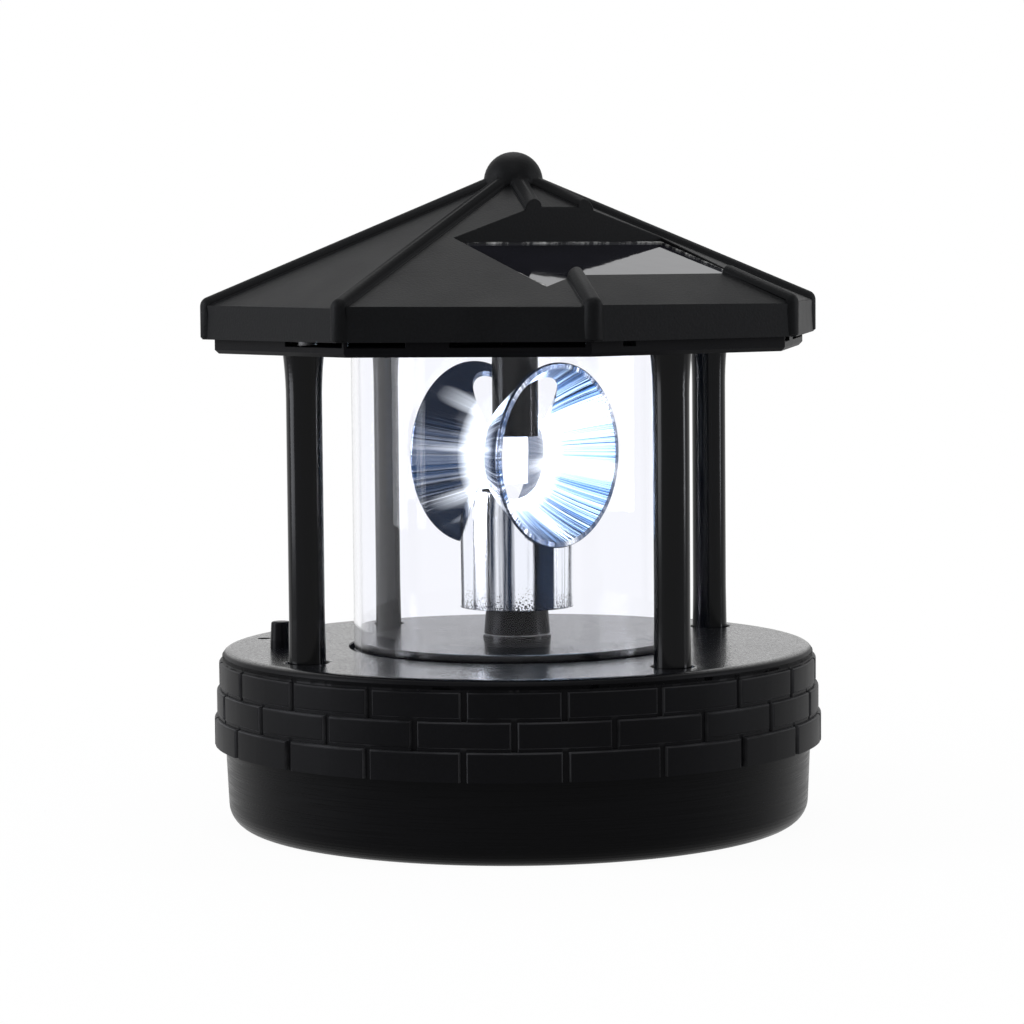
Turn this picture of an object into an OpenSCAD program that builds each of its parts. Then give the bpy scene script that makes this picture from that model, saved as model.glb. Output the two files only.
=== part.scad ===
// Lantern head of a solar garden lighthouse: a round base with a brick ring, a clear
// lantern tube, four pillars and an eight-sided roof with a solar panel let into it.
// A geared motor in the base turns a plated twin-horn reflector round a fixed lamp.
// Millimetres, +Z up, origin at the centre of the underside. The panel faces -Y and
// the pillars stand on the X and Y axes.

/* [Base] */
// Outer diameter of the lowest brick course
ring_d = 130; // [126:1:136]
// Height of one brick course, joint included
course_h = 5.9; // [5:0.1:7]
// How far each course stands out past the course above it
course_step = 0.55; // [0.2:0.05:0.8]
// Number of courses
courses = 3; // [2:1:4]
// Bricks in one course
bricks = 20; // [14:2:26]
// Width of the upright joints
joint_w = 1.6; // [0.8:0.1:2.4]
// Height of the level joints
bed_h = 0.8; // [0.4:0.1:1.4]
// Depth of the brick joints
joint_depth = 0.8; // [0.4:0.1:1.2]
// Height of the top rim above the first course
rim_h = 2.4; // [1.8:0.1:4]
// Radius of the rounded edge of the top rim
rim_round = 2; // [0.5:0.1:2.4]
// How far the top rim stands back from the first course
rim_back = 0.7; // [0.2:0.1:1.2]
// Thickness of the base cover's side wall behind the joints
cover_wall = 2.2; // [1.6:0.1:3]
// Thickness of the base cover's top
cover_top_t = 2.8; // [2.4:0.1:4]
// Height of the raised floor inside the lantern tube
plinth_h = 1.4; // [0.6:0.1:2.5]
// Edge rounding of the raised floor
plinth_round = 0.6; // [0.2:0.1:1]

/* [Pan] */
// Height of the pan below the bricks
pan_h = 17.7; // [16:0.1:22]
// How far the pan stands back under the lowest course
pan_back = 2.3; // [1:0.1:4]
// How much narrower the pan is at its foot than at its top, in radius
pan_draft = 0.55; // [0:0.05:1.5]
// Outer rounding of the pan's foot
pan_round = 5; // [2:0.5:7]
// Wall of the pan
pan_wall = 2; // [1.6:0.1:3]
// Floor of the pan
pan_floor = 2.4; // [2:0.1:3.5]
// Height of the tongue that locates the cover
tongue_h = 3; // [1.5:0.1:5]
// Thickness of the tongue
tongue_t = 1.8; // [1.2:0.1:2.5]

/* [Lantern tube] */
// Outer diameter of the clear tube
tube_d = 70; // [64:0.5:74]
// Wall of the clear tube
tube_wall = 1.4; // [1:0.1:2.5]
// Width of the open groove outside the tube
groove_gap = 1; // [0.4:0.1:1.6]
// Depth of the groove in the base cover
groove_depth = 1.4; // [0.8:0.1:1.6]
// Thickness of each rubber ring under and over the tube
gasket_t = 0.6; // [0.3:0.1:0.8]
// Depth of the groove in the tray above the tube
tray_groove = 0.9; // [0.8:0.1:1.2]

/* [Pillars] */
// Distance of the pillars' axes in from the tray's edge
pillar_in = 6.25; // [5.6:0.05:7]
// Least distance of the pillars' axes in from the base's rim
pillar_rim_in = 9.9; // [9.4:0.1:11]
// Length of the pillars between base cover and tray
pillar_l = 63.2; // [58:0.1:80]
// Diameter at the waist
pillar_d = 7.4; // [7:0.1:8.4]
// Diameter at the foot
pillar_foot_d = 7.7; // [7:0.1:8.6]
// Diameter at the top
pillar_top_d = 8.4; // [7:0.1:9]
// Length of the flare at the top
pillar_flare_l = 9; // [4:0.5:14]
// Diameter of the spigots at both ends
spigot_d = 5.2; // [4.8:0.1:5.6]
// Diameter of the shallow seat round each foot
seat_d = 9.2; // [8.8:0.1:10]
// Depth of the shallow seat
seat_depth = 0.7; // [0.3:0.1:1]
// Bore of the pillar that carries the leads
lead_bore = 4; // [3.8:0.1:4.2]

/* [Tray] */
// Thickness of the tray's plate
tray_t = 2; // [1.8:0.1:3]
// Chamfer of the tray's lower edge
tray_chamfer = 0.8; // [0.2:0.1:1.2]
// Gap that shows between the tray's plate and the fascia
tray_gap = 1.1; // [0.5:0.1:2]
// Height of the tray's upright rim blocks
tray_rim_h = 4; // [2:0.1:5]
// Thickness of the rim blocks
tray_rim_t = 1.6; // [1:0.1:2.5]

/* [Roof] */
// Distance from the axis to the fascia's corners
roof_r = 67; // [64:0.1:69]
// Height of the fascia
fascia_h = 6.8; // [5:0.1:9]
// How much the fascia leans in towards its top
fascia_draft = 0.25; // [0:0.05:0.6]
// Pitch of the roof's faces, degrees
roof_pitch = 23.9; // [20:0.1:28]
// Wall of the roof
roof_wall = 2; // [1.6:0.1:2.6]
// Radius of the rounded hip ribs
rib_r = 2; // [1.2:0.1:2.6]
// How far the ribs stand out of the hips
rib_proud = 1.5; // [0.8:0.1:1.8]
// How far the ribs stand out of the fascia's corners
corner_proud = 0.4; // [0.1:0.1:0.8]
// Step from the fascia's lower edge up to the foot of a corner rib
post_step = 0.2; // [0.1:0.1:0.5]
// Radius of the ball on top
ball_r = 6.3; // [4:0.1:8]
// Height of the ball's centre below the point where the faces meet
ball_drop = 1.6; // [0:0.1:3]

/* [Solar panel] */
// Distance of the panel pocket's sides in from the eaves
pocket_side_in = 34.75; // [33.5:0.05:40]
// Distance from the axis to the pocket's back wall
pocket_back = 16.5; // [14:0.1:20]
// Distance of the pocket's front edge in from the eave
pocket_front_in = 13.75; // [12:0.05:18]
// Depth of the pocket's front edge below the roof's face
pocket_step = 2.3; // [1:0.1:3]
// Tilt of the panel, degrees
panel_tilt = 16; // [12:0.5:19]
// Gap round the panel that the white sealant fills
sealant_w = 0.5; // [0.3:0.1:1]
// Thickness of the panel's board
panel_board_t = 1.2; // [0.8:0.1:1.6]
// Thickness of the cells
cell_t = 0.2; // [0.1:0.05:0.3]
// Thickness of the clear resin over the cells
resin_t = 0.5; // [0.3:0.1:0.8]
// How far the resin's surface lies below the pocket's edge
panel_sunk = 0.3; // [0:0.1:0.6]
// Number of cell strips
cell_strips = 4; // [2:1:6]
// Gap between cell strips
cell_gap = 0.8; // [0.4:0.1:1.5]

/* [Lamp] */
// Outer diameter of the lamp post that hangs from the tray
post_d = 9.9; // [9:0.1:11]
// Wall of the lamp post
post_wall = 1.2; // [0.8:0.1:1.6]
// Length of the post below the tray
post_l = 18.5; // [15:0.1:22]
// Thickness of the post's end
post_end_t = 1.2; // [0.8:0.1:2]
// Radius of the post's flange
post_flange_r = 8; // [7:0.1:10]
// Width of the lamp board
lamp_w = 5.4; // [4:0.1:6.4]
// Thickness of the lamp board
lamp_t = 1.2; // [0.8:0.1:1.6]
// Length of the lamp board below the post
lamp_l = 10.2; // [8:0.1:11]
// Width of each lamp chip
chip_w = 3.5; // [2:0.1:4.2]
// Height of each lamp chip
chip_h = 2.8; // [2:0.1:5]
// Thickness of each lamp chip
chip_t = 0.8; // [0.4:0.1:1.2]

/* [Reflector] */
// Distance of the horns' common axis below the tray
horn_drop = 22.3; // [21:0.1:24]
// Bearing of the first horn from +X at rest, degrees
horn_bearing = -77.5; // [-180:0.5:180]
// Outer radius of the horns' rims
horn_rim_r = 19.65; // [17:0.05:21]
// Distance from the axis to each rim
horn_reach = 12.5; // [11:0.1:15]
// Wall of the horns
horn_wall = 0.9; // [0.7:0.1:1.4]
// Width of the flat lip of the rims
horn_lip = 0.35; // [0.1:0.05:0.8]
// Radius of the opening cut down through the horns for the lamp
lamp_opening_r = 9; // [7:0.1:9.4]
// Outer radius of the hub tube at its foot
hub_r = 12.3; // [11:0.1:14]
// How much the hub tube narrows to its shoulder
hub_draft = 0.2; // [0:0.05:0.6]
// Wall of the hub tube
hub_wall = 1.2; // [0.8:0.1:1.8]
// Height of the hub's foot above the base cover
hub_lift = 8.2; // [7:0.1:10]
// Distance of the hub tube's top below the horns' axis
hub_top_drop = 6.2; // [4:0.1:8]
// Height of the hub tube's rounded shoulder
hub_shoulder = 8; // [4:0.1:9]
// How much the shoulder narrows
hub_shoulder_in = 2.2; // [1:0.1:4]

/* [Drive] */
// Radius of the output shaft
shaft_r = 1.5; // [1.2:0.05:2]
// Running clearance between shafts and their bearings
run_gap = 0.05; // [0.02:0.01:0.1]
// Radius of the fixed boss on the base cover
boss_r = 7.3; // [6.8:0.1:8.5]
// Height of the fixed boss above the base cover
boss_h = 2.2; // [1.8:0.1:3]
// Gap between parts that turn and parts that stand
turn_gap = 0.3; // [0.2:0.05:0.5]
// Radius of the drive collar at its foot
collar_r = 7.1; // [6.6:0.1:8]
// How much the drive collar narrows to its top
collar_draft = 0.4; // [0:0.05:1]
// Rounding of the drive collar's top edge
collar_round = 0.8; // [0.2:0.1:1.5]
// Outer radius of the shaft's bush
bush_r = 3; // [2.4:0.1:4]
// Thickness of the bush's flange
bush_flange_t = 0.8; // [0.5:0.1:1.2]
// Gear module
gear_m = 0.5; // [0.4:0.05:0.6]
// Teeth of the motor pinion
motor_teeth = 10; // [9:1:14]
// Teeth of the idler's wheel
idler_wheel_teeth = 36; // [30:1:40]
// Teeth of the idler's pinion
idler_pinion_teeth = 12; // [10:1:16]
// Teeth of the output wheel
output_teeth = 40; // [34:1:44]
// Face width of the wheels
wheel_t = 2; // [1.5:0.1:2.5]
// Thickness of the gear plate
plate_t = 2; // [1.5:0.1:3]
// Radius of the idler's fixed pin
idler_pin_r = 1; // [0.8:0.05:1.4]
// Bearing of the idler from the output shaft, degrees
idler_bearing = -50; // [-70:1:-30]
// Bearing of the motor from the idler, degrees
motor_bearing = -112; // [-130:1:-90]
// Radius of the motor's can
motor_r = 12.2; // [10:0.1:13]
// Height of the motor's can
motor_h = 12.5; // [9:0.1:14]

/* [Power] */
// Diameter of the battery
battery_d = 14.2; // [14:0.1:14.6]
// Length of the battery without its nub
battery_l = 49.2; // [48:0.1:50.5]
// Distance of the battery from the axis
battery_at = 28; // [25:0.5:30]
// Thickness of the battery door
door_t = 1.4; // [1:0.1:1.8]
// Bearing of the button round the base, degrees
button_bearing = 147.5; // [140:0.5:155]
// Distance of the button from the axis
button_at = 50.6; // [48:0.1:52]
// Diameter of the button at its foot
button_d = 4.6; // [4:0.1:6]
// Height of the button above the base cover
button_h = 5.6; // [4:0.1:8]
// Travel of the button
button_travel = 1.5; // [0.8:0.1:1.8]
// Distance of the button's flange above the switch
button_free = 2.4; // [2:0.1:3]
// Thickness of the circuit board
board_t = 1.6; // [1:0.1:2]
// Size of the circuit board across the radius
board_w = 22; // [18:1:24]
// Size of the circuit board round the base
board_l = 32; // [26:1:34]
// Diameter of the leads
lead_d = 1.6; // [1.2:0.1:1.7]

/* [Screws] */
// Shank radius of the screws
screw_r = 1.2; // [1:0.05:1.4]
// Head radius of the screws
head_r = 2.3; // [2:0.1:2.5]
// Head height of the screws
head_h = 1.5; // [1:0.1:1.8]
// Distance of the base screws in from the cover's wall
base_screw_in = 8.9; // [7:0.1:11]
// Distance of the roof screws in from the tray's edge
roof_screw_in = 15.55; // [13.5:0.05:17.5]

/* [Hidden] */
$fn = 96;
eps = 0.01;
fit = 0.05;
tray_fit = 0.35;

// Levels
ring_r = ring_d / 2;
ring_top = pan_h + courses * course_h;
base_top = ring_top + rim_h;
cover_under = base_top - cover_top_t;
tray_z = base_top + pillar_l;
tray_top = tray_z + tray_t;
fascia_z = tray_top + tray_gap;
eave_z = fascia_z + fascia_h;

// Radii of the base
function course_r(k) = ring_r - (courses - 1 - k) * course_step;
rim_r = course_r(0) - rim_back;
cover_in_r = course_r(0) - joint_depth - cover_wall;
pan_top_r = ring_r - pan_back;
pan_foot_r = pan_top_r - pan_draft;
tongue_r = cover_in_r - 0.2;
base_screw_at = cover_in_r - base_screw_in;

// Tube and its grooves
tube_r = tube_d / 2;
tube_in_r = tube_r - tube_wall;
plinth_r = tube_in_r - turn_gap;
groove_z = base_top - groove_depth;
tube_z = groove_z + gasket_t;
tube_top = tray_z + tray_groove - gasket_t;

// Roof
cos8 = cos(22.5);
fascia_a = roof_r * cos8;
eave_a = fascia_a - fascia_draft;
apex_z = eave_z + eave_a * tan(roof_pitch);
hip_r = eave_a / cos8;
hip_pitch = atan((apex_z - eave_z) / hip_r);
ball_z = apex_z - ball_drop;
roof_in_drop = roof_wall / cos(roof_pitch);
tray_a = fascia_a - roof_wall - tray_fit;
tray_face = 2 * tray_a * tan(22.5);
roof_screw_at = tray_a - roof_screw_in;
pillar_at = min(tray_a - pillar_in, rim_r - pillar_rim_in);

// Solar pocket: its floor is a plane tilted about X
pocket_half_w = eave_a - pocket_side_in;
pocket_front = eave_a - pocket_front_in;
pocket_front_z = apex_z - pocket_front * tan(roof_pitch) - pocket_step;
pocket_back_z = pocket_front_z + (pocket_front - pocket_back) * tan(panel_tilt);
pocket_mid = [0, -(pocket_front + pocket_back) / 2, (pocket_front_z + pocket_back_z) / 2];
pocket_l = (pocket_front - pocket_back) / cos(panel_tilt);
panel_w = 2 * pocket_half_w - 2 * sealant_w;
panel_l = pocket_l - 2 * sealant_w;
panel_stack = panel_sunk + resin_t + cell_t + panel_board_t;
pocket_floor_t = 1.6;
panel_lead_y = 6;

// Reflector: each horn is a parabola with its focus at the lamp
horn_z = tray_z - horn_drop;
horn_in_rim = horn_rim_r - horn_wall - horn_lip;
horn_f = (sqrt(horn_reach * horn_reach + horn_in_rim * horn_in_rim) - horn_reach) / 2;
function horn_in(d) = 2 * sqrt(horn_f * (d + horn_f));
hub_z = base_top + hub_lift;
hub_straight = horn_z - hub_top_drop - hub_shoulder - hub_z;
collar_z = base_top + boss_h + turn_gap;
shaft_top = hub_z + 5;
hub_web_t = 6.5;
collar_spigot_r = 3.4;
collar_spigot_l = 4;

// Gear train, from the cover's underside down
wheel_top = cover_under - bush_flange_t - turn_gap - 0.2;
wheel_z = wheel_top - wheel_t;
idler_wheel_z = wheel_z - 2.2 - wheel_t;
plate_top = idler_wheel_z - 0.7 - turn_gap;
plate_z = plate_top - plate_t;
motor_z = plate_z - motor_h;
function centre_gap(a, b) = (a + b) * gear_m / 2;
idler_at = centre_gap(output_teeth, idler_pinion_teeth) * [cos(idler_bearing), sin(idler_bearing)];
motor_at = idler_at
    + centre_gap(motor_teeth, idler_wheel_teeth) * [cos(motor_bearing), sin(motor_bearing)];
plate_posts = [[21, 6], [-21, 6], [21, -34], [-21, -34]];
plate_post_r = 3;
plate_edge = 3.5;
motor_screw_at = 6.5;
idler_boss_r = 2.6;

// Power
battery_z = door_t + 0.2 + battery_d / 2;
bay_l = battery_l + 5.6;
bay_w = battery_d + 1.6;
bay_top = battery_z + battery_d / 2 + 0.4;
bay_wall = 1.6;
door_l = bay_l + 3;
door_w = bay_w + 3;
door_ear = 9;
switch_h = 5;
button_flange_t = 1.2;
button_flange_z = cover_under - 0.2 - button_flange_t;
switch_top = button_flange_z - button_free;
board_z = switch_top - switch_h - board_t;
button_pos = button_at * [cos(button_bearing), sin(button_bearing)];
board_r = button_at - 8;
button_taper = 0.2;
sensor_hole = [-36.5, 44];
sensor_hole_r = 1.5;
spring_wire = 0.35;
board_screw_at = [[-8, 13], [8, -13]];

// Screw seats
pillar_boss_r = 4.5;
pillar_boss_z = cover_under - 4;
pillar_ledge = 1.5;
pan_boss_h = 8;
base_head_z = 1;
roof_pad_h = 1.6;
roof_pad_r = 4.4;
roof_boss_r = 3.2;

pillar_dir = [180, 270, 0];
base_screw_dir = [22.5, 112.5, 202.5, 292.5];
roof_screw_dir = [45, 135, 225, 315];

// Leads: free-hand routes, smoothed between their points
lead_end_gap = 0.12;
panel_lead_route = [[0, -25, 117.2], [2, -24, 113], [9, -16, 109], [13, -2, 108], [10, 14, 108],
    [4, 32, 108], [0.95, 46, 108.5], [0.95, 52, 107.5], [0.95, 53.3, 104], [0.95, 53.3, 90],
    [0.95, 53.3, 70], [0.95, 53.3, 50], [0.95, 53.3, 36], [0.95, 53.2, 30], [-1, 50, 27.4],
    [-8, 43, 27.6], [-17, 36, 28.2], [-24, 33, 29], [-27, 32, 28.6], [-27.6, 31.8, 27.4],
    [-27.6, 31.8, 26.32]];
lamp_lead_route = [[0, 0, 84], [0, 0, 88], [0, 0, 100], [0, 1.5, 106], [-3, 8, 108.5],
    [-5, 24, 108.5], [-2.5, 42, 108.5], [-0.95, 51, 107.5], [-0.95, 53.3, 103],
    [-0.95, 53.3, 90], [-0.95, 53.3, 70], [-0.95, 53.3, 50], [-0.95, 53.3, 36],
    [-0.95, 53, 30], [-4, 48, 29.6], [-12, 40.5, 30], [-21, 37.5, 30.2], [-27.6, 35.6, 29.4],
    [-28.5, 35, 27.6], [-28.5, 35, 26.32]];
motor_lead_route = [[-4, -19, 6.4], [-14, -17, 6], [-27, -8, 8], [-32, 4, 14], [-32, 12, 19],
    [-32, 15.6, 22]];
battery_lead_route = [[-34.5, 25, 15.5], [-36.6, 21.4, 18.5], [-37, 20, 22]];

// Coloured parts
black_plastic = [0.10, 0.10, 0.11];
gloss_black = [0.05, 0.05, 0.06];
chrome = [0.80, 0.82, 0.86];
steel = [0.62, 0.63, 0.66];
brass_tone = [0.78, 0.62, 0.30];
nylon = [0.92, 0.91, 0.86];

// ---------------------------------------------------------------- helpers

module around(angles, r) {
    for (a = angles)
        rotate([0, 0, a])
            translate([r, 0, 0])
                children();
}

// A solid with eight sides, cut by the same upright profile turned four times
module eight_sided(profile) {
    intersection() {
        gable(profile, 0);
        gable(profile, 45);
        gable(profile, 90);
        gable(profile, 135);
    }
}

module gable(profile, turn) {
    rotate([0, 0, turn])
        rotate([90, 0, 0])
            linear_extrude(height = 4 * ring_r, center = true)
                polygon(profile);
}

function both_sides(half) = concat(half, [for (i = [len(half) - 1:-1:0]) [-half[i][0], half[i][1]]]);

// A solid drawn as a Y-Z outline and pulled out along X
module along_x(width, outline) {
    rotate([90, 0, 90])
        linear_extrude(height = width, center = true)
            polygon(outline);
}

module rounded_rect(w, l, r) {
    square([w - 2 * r, l], center = true);
    square([w, l - 2 * r], center = true);
    for (x = [-1, 1], y = [-1, 1])
        translate([x * (w / 2 - r), y * (l / 2 - r)])
            circle(r);
}

function arc(cx, cy, r, from, to, steps) =
    [for (i = [0:steps]) let (a = from + (to - from) * i / steps) [cx + r * cos(a), cy + r * sin(a)]];

// Pan-head screw with a cross recess, head down, its bearing face at z = 0
module screw(shank_l, r = screw_r, hr = head_r, hh = head_h) {
    difference() {
        union() {
            translate([0, 0, -hh])
                cylinder(r = hr, h = hh);
            cylinder(r = r, h = shank_l);
        }
        for (a = [0, 90])
            rotate([0, 0, a])
                translate([-hr * 0.6, -0.3, -hh - eps])
                    cube([hr * 1.2, 0.6, hh * 0.5]);
    }
}

// Round lead swept along a smoothed route
function smooth_at(p, i, t) =
    let (a = p[max(i - 1, 0)], b = p[i], c = p[i + 1], d = p[min(i + 2, len(p) - 1)])
    0.5 * (2 * b + (c - a) * t + (2 * a - 5 * b + 4 * c - d) * t * t
        + (3 * b - a - 3 * c + d) * t * t * t);
function smooth_route(p, n) =
    concat([for (i = [0:len(p) - 2], j = [0:n - 1]) smooth_at(p, i, j / n)], [p[len(p) - 1]]);
function unit(v) = v / norm(v);
function heading(p, i) = unit(p[min(i + 1, len(p) - 1)] - p[max(i - 1, 0)]);
function carry(side, along) = unit(side - (side * along) * along);
function sides_along(p, i, side) =
    i >= len(p) ? [] :
    let (s = carry(side, heading(p, i)))
    concat([s], sides_along(p, i + 1, s));

module lead(route, r, steps = 4, sides = 8, start_side = [1, 0.2, 0.1]) {
    p = smooth_route(route, steps);
    s = sides_along(p, 0, start_side);
    rings = [for (i = [0:len(p) - 1], k = [0:sides - 1])
        let (u = s[i], v = cross(heading(p, i), u), a = 360 * k / sides)
        p[i] + r * (cos(a) * u + sin(a) * v)];
    last = (len(p) - 1) * sides;
    walls = [for (i = [0:len(p) - 2], k = [0:sides - 1], half = [0, 1])
        let (a = i * sides + k, b = i * sides + (k + 1) % sides)
        half == 0 ? [a, b, b + sides] : [a, b + sides, a + sides]];
    caps = concat([for (k = [1:sides - 2]) [0, k + 1, k]],
        [for (k = [1:sides - 2]) [last, last + k, last + k + 1]]);
    polyhedron(points = rings, faces = concat([for (f = walls) [f[0], f[2], f[1]]],
        [for (f = caps) [f[0], f[2], f[1]]]));
}

// Involute spur gear, stub teeth, one tooth centred on its own +X
pressure = 25;
backlash = 0.1;
function inv_deg(a) = tan(a) * 180 / PI - a;
function tooth_half(teeth, r) =
    let (rp = teeth * gear_m / 2, rb = rp * cos(pressure), rr = max(r, rb))
    (PI * gear_m / 2 - backlash) / (2 * rp) * 180 / PI + inv_deg(pressure) - inv_deg(acos(rb / rr));
function gear_outline(teeth) =
    let (rp = teeth * gear_m / 2, rt = rp + 0.8 * gear_m, rr = rp - 1.0 * gear_m,
        rb = rp * cos(pressure), r0 = max(rr, rb),
        rs = [for (i = [0:3]) r0 + (rt - r0) * i / 3])
    [for (k = [0:teeth - 1]) let (c = 360 * k / teeth)
        each concat(
            [rr * [cos(c - tooth_half(teeth, rr)), sin(c - tooth_half(teeth, rr))]],
            [for (r = rs) r * [cos(c - tooth_half(teeth, r)), sin(c - tooth_half(teeth, r))]],
            [for (i = [3:-1:0]) let (r = rs[i]) r * [cos(c + tooth_half(teeth, r)), sin(c + tooth_half(teeth, r))]],
            [rr * [cos(c + tooth_half(teeth, rr)), sin(c + tooth_half(teeth, rr))]])];

module gear(teeth, t, turn) {
    rotate([0, 0, turn])
        linear_extrude(height = t)
            polygon(gear_outline(teeth));
}

// ---------------------------------------------------------------- base pan

module pan_body() {
    in_r = pan_foot_r - pan_wall;
    rotate_extrude()
        polygon(concat(
            [[0, 0]],
            arc(pan_foot_r - pan_round, pan_round, pan_round, -90, 0, 10),
            [[pan_top_r, pan_h], [tongue_r, pan_h], [tongue_r, pan_h + tongue_h],
                [tongue_r - tongue_t, pan_h + tongue_h], [tongue_r - tongue_t, pan_h - 3],
                [in_r, pan_h - 5]],
            arc(in_r - pan_round + pan_wall, pan_floor + pan_round - pan_wall,
                pan_round - pan_wall, 0, -90, 6),
            [[0, pan_floor]]));
}

module battery_bay() {
    translate([0, battery_at, 0])
        difference() {
            translate([0, 0, pan_floor - eps])
                linear_extrude(height = bay_top + bay_wall - pan_floor + eps)
                    square([bay_l + 2 * bay_wall, bay_w + 2 * bay_wall], center = true);
            translate([0, 0, -eps])
                linear_extrude(height = bay_top + eps)
                    square([bay_l, bay_w], center = true);
        }
}

module base_pan() {
    ear_x = door_l / 2 + door_ear / 2;
    color(black_plastic)
        difference() {
            union() {
                pan_body();
                battery_bay();
                around(base_screw_dir, base_screw_at)
                    cylinder(r = head_r + 1.8, h = pan_boss_h);
                translate([ear_x, battery_at, 0])
                    cylinder(r = head_r + 1, h = 9);
            }
            translate([0, battery_at, -eps])
                linear_extrude(height = bay_top + eps)
                    square([bay_l, bay_w], center = true);
            translate([door_ear / 2, battery_at, -eps])
                linear_extrude(height = door_t + eps)
                    rounded_rect(door_l + door_ear, door_w, 2);
            around(base_screw_dir, base_screw_at) {
                translate([0, 0, -eps])
                    cylinder(r = head_r + 0.3, h = base_head_z + head_h + eps);
                cylinder(r = screw_r + 0.15, h = pan_boss_h + eps);
            }
            translate([ear_x, battery_at, 0])
                cylinder(r = screw_r, h = 8);
            translate([-bay_l / 2 - bay_wall - 1, battery_at - 1.5, bay_top - 4])
                cube([bay_wall + 2, 3, 3]);
        }
}

// ---------------------------------------------------------------- base cover

module brick_band(k) {
    top = ring_top - k * course_h;
    phase = k % 2 == 0 ? 180 / bricks : 0;
    translate([0, 0, top - course_h])
        linear_extrude(height = course_h - bed_h)
            difference() {
                circle(course_r(k), $fn = 192);
                circle(cover_in_r + cover_wall / 2);
                for (i = [0:bricks - 1])
                    rotate([0, 0, phase + i * 360 / bricks])
                        translate([course_r(k) - joint_depth, -joint_w / 2])
                            square([joint_depth * 3, joint_w]);
            }
}

module cover_body() {
    steps = [for (k = [0:courses - 1]) each [
        [course_r(k) - joint_depth, ring_top - k * course_h],
        [course_r(k) - joint_depth, ring_top - (k + 1) * course_h]]];
    rotate_extrude($fn = 192)
        polygon(concat(
            [[0, cover_under], [cover_in_r - 2, cover_under], [cover_in_r, cover_under - 2],
                [cover_in_r, pan_h]],
            [for (i = [len(steps) - 1:-1:0]) steps[i]],
            [[rim_r, ring_top]],
            arc(rim_r - rim_round, base_top - rim_round, rim_round, 0, 90, 8),
            [[0, base_top]]));
}

module plinth() {
    rotate_extrude()
        polygon(concat(
            [[0, groove_z], [plinth_r, groove_z]],
            arc(plinth_r - plinth_round, base_top + plinth_h - plinth_round, plinth_round, 0, 90, 5),
            [[0, base_top + plinth_h]]));
}

module base_cover() {
    color(black_plastic)
        difference() {
            union() {
                difference() {
                    cover_body();
                    translate([0, 0, groove_z])
                        cylinder(r = tube_r + groove_gap, h = groove_depth + 1);
                }
                for (k = [0:courses - 1])
                    brick_band(k);
                plinth();
                translate([0, 0, groove_z])
                    cylinder(r = boss_r, h = base_top + boss_h - groove_z);
                around([0, 90, 180, 270], pillar_at)
                    translate([0, 0, pillar_boss_z])
                        cylinder(r = pillar_boss_r, h = cover_under - pillar_boss_z + eps);
                around(base_screw_dir, base_screw_at)
                    translate([0, 0, pan_boss_h])
                        cylinder(r = head_r + 1.4, h = cover_under - pan_boss_h + eps);
                for (p = plate_posts)
                    translate([p[0], p[1], plate_top])
                        cylinder(r = plate_post_r, h = cover_under - plate_top + eps);
                translate([idler_at[0], idler_at[1], cover_under - bush_flange_t])
                    cylinder(r = idler_boss_r, h = bush_flange_t + eps);
                board_at()
                    for (p = board_screw_at)
                        translate([p[0], p[1], board_z + board_t])
                            cylinder(r = 2.4, h = cover_under - board_z - board_t + eps);
            }
            translate([0, 0, cover_under - 1])
                cylinder(r = bush_r, h = 20);
            around([0, 90, 180, 270], pillar_at) {
                translate([0, 0, base_top - seat_depth])
                    cylinder(r = seat_d / 2, h = seat_depth + 1);
                translate([0, 0, pillar_boss_z + pillar_ledge])
                    cylinder(r = spigot_d / 2 + fit, h = 20);
            }
            around(pillar_dir, pillar_at)
                translate([0, 0, pillar_boss_z - 1])
                    cylinder(r = screw_r + 0.15, h = 20);
            around([90], pillar_at)
                translate([0, 0, pillar_boss_z - 1])
                    cylinder(r = lead_bore / 2, h = 20);
            around(base_screw_dir, base_screw_at)
                translate([0, 0, pan_boss_h - 1])
                    cylinder(r = screw_r, h = 14);
            for (p = plate_posts)
                translate([p[0], p[1], plate_top - 1])
                    cylinder(r = screw_r, h = 7);
            translate([idler_at[0], idler_at[1], cover_under - bush_flange_t - 1])
                cylinder(r = idler_pin_r, h = bush_flange_t + 2);
            board_at()
                for (p = board_screw_at)
                    translate([p[0], p[1], board_z])
                        cylinder(r = 0.9, h = board_t + 6);
            translate([button_pos[0], button_pos[1], cover_under - 1])
                cylinder(r = button_d / 2 + 0.1, h = 10);
            translate([sensor_hole[0], sensor_hole[1], base_top - 1.2])
                cylinder(r = sensor_hole_r, h = 2);
        }
}

module base_screws() {
    color(steel)
        around(base_screw_dir, base_screw_at)
            translate([0, 0, base_head_z + head_h])
                screw(pan_boss_h + 8);
}

// ---------------------------------------------------------------- power

module battery_door() {
    ear_x = door_l / 2 + door_ear / 2;
    color(black_plastic)
        translate([0, battery_at, 0])
            difference() {
                linear_extrude(height = door_t)
                    translate([door_ear / 2, 0])
                        rounded_rect(door_l + door_ear - 0.5, door_w - 0.5, 1.8);
                translate([ear_x, 0, -eps])
                    cylinder(r = head_r + 0.2, h = 0.9);
                translate([ear_x, 0, 0])
                    cylinder(r = screw_r + 0.1, h = door_t + 1);
                for (i = [0:4])
                    translate([-door_l / 2 + 4 + i * 2, -5, -eps])
                        cube([0.8, 10, 0.5]);
            }
}

module battery_door_screw() {
    ear_x = door_l / 2 + door_ear / 2;
    color(steel)
        translate([ear_x, battery_at, 0.9 - eps])
            screw(6, hh = 0.7);
}

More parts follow.
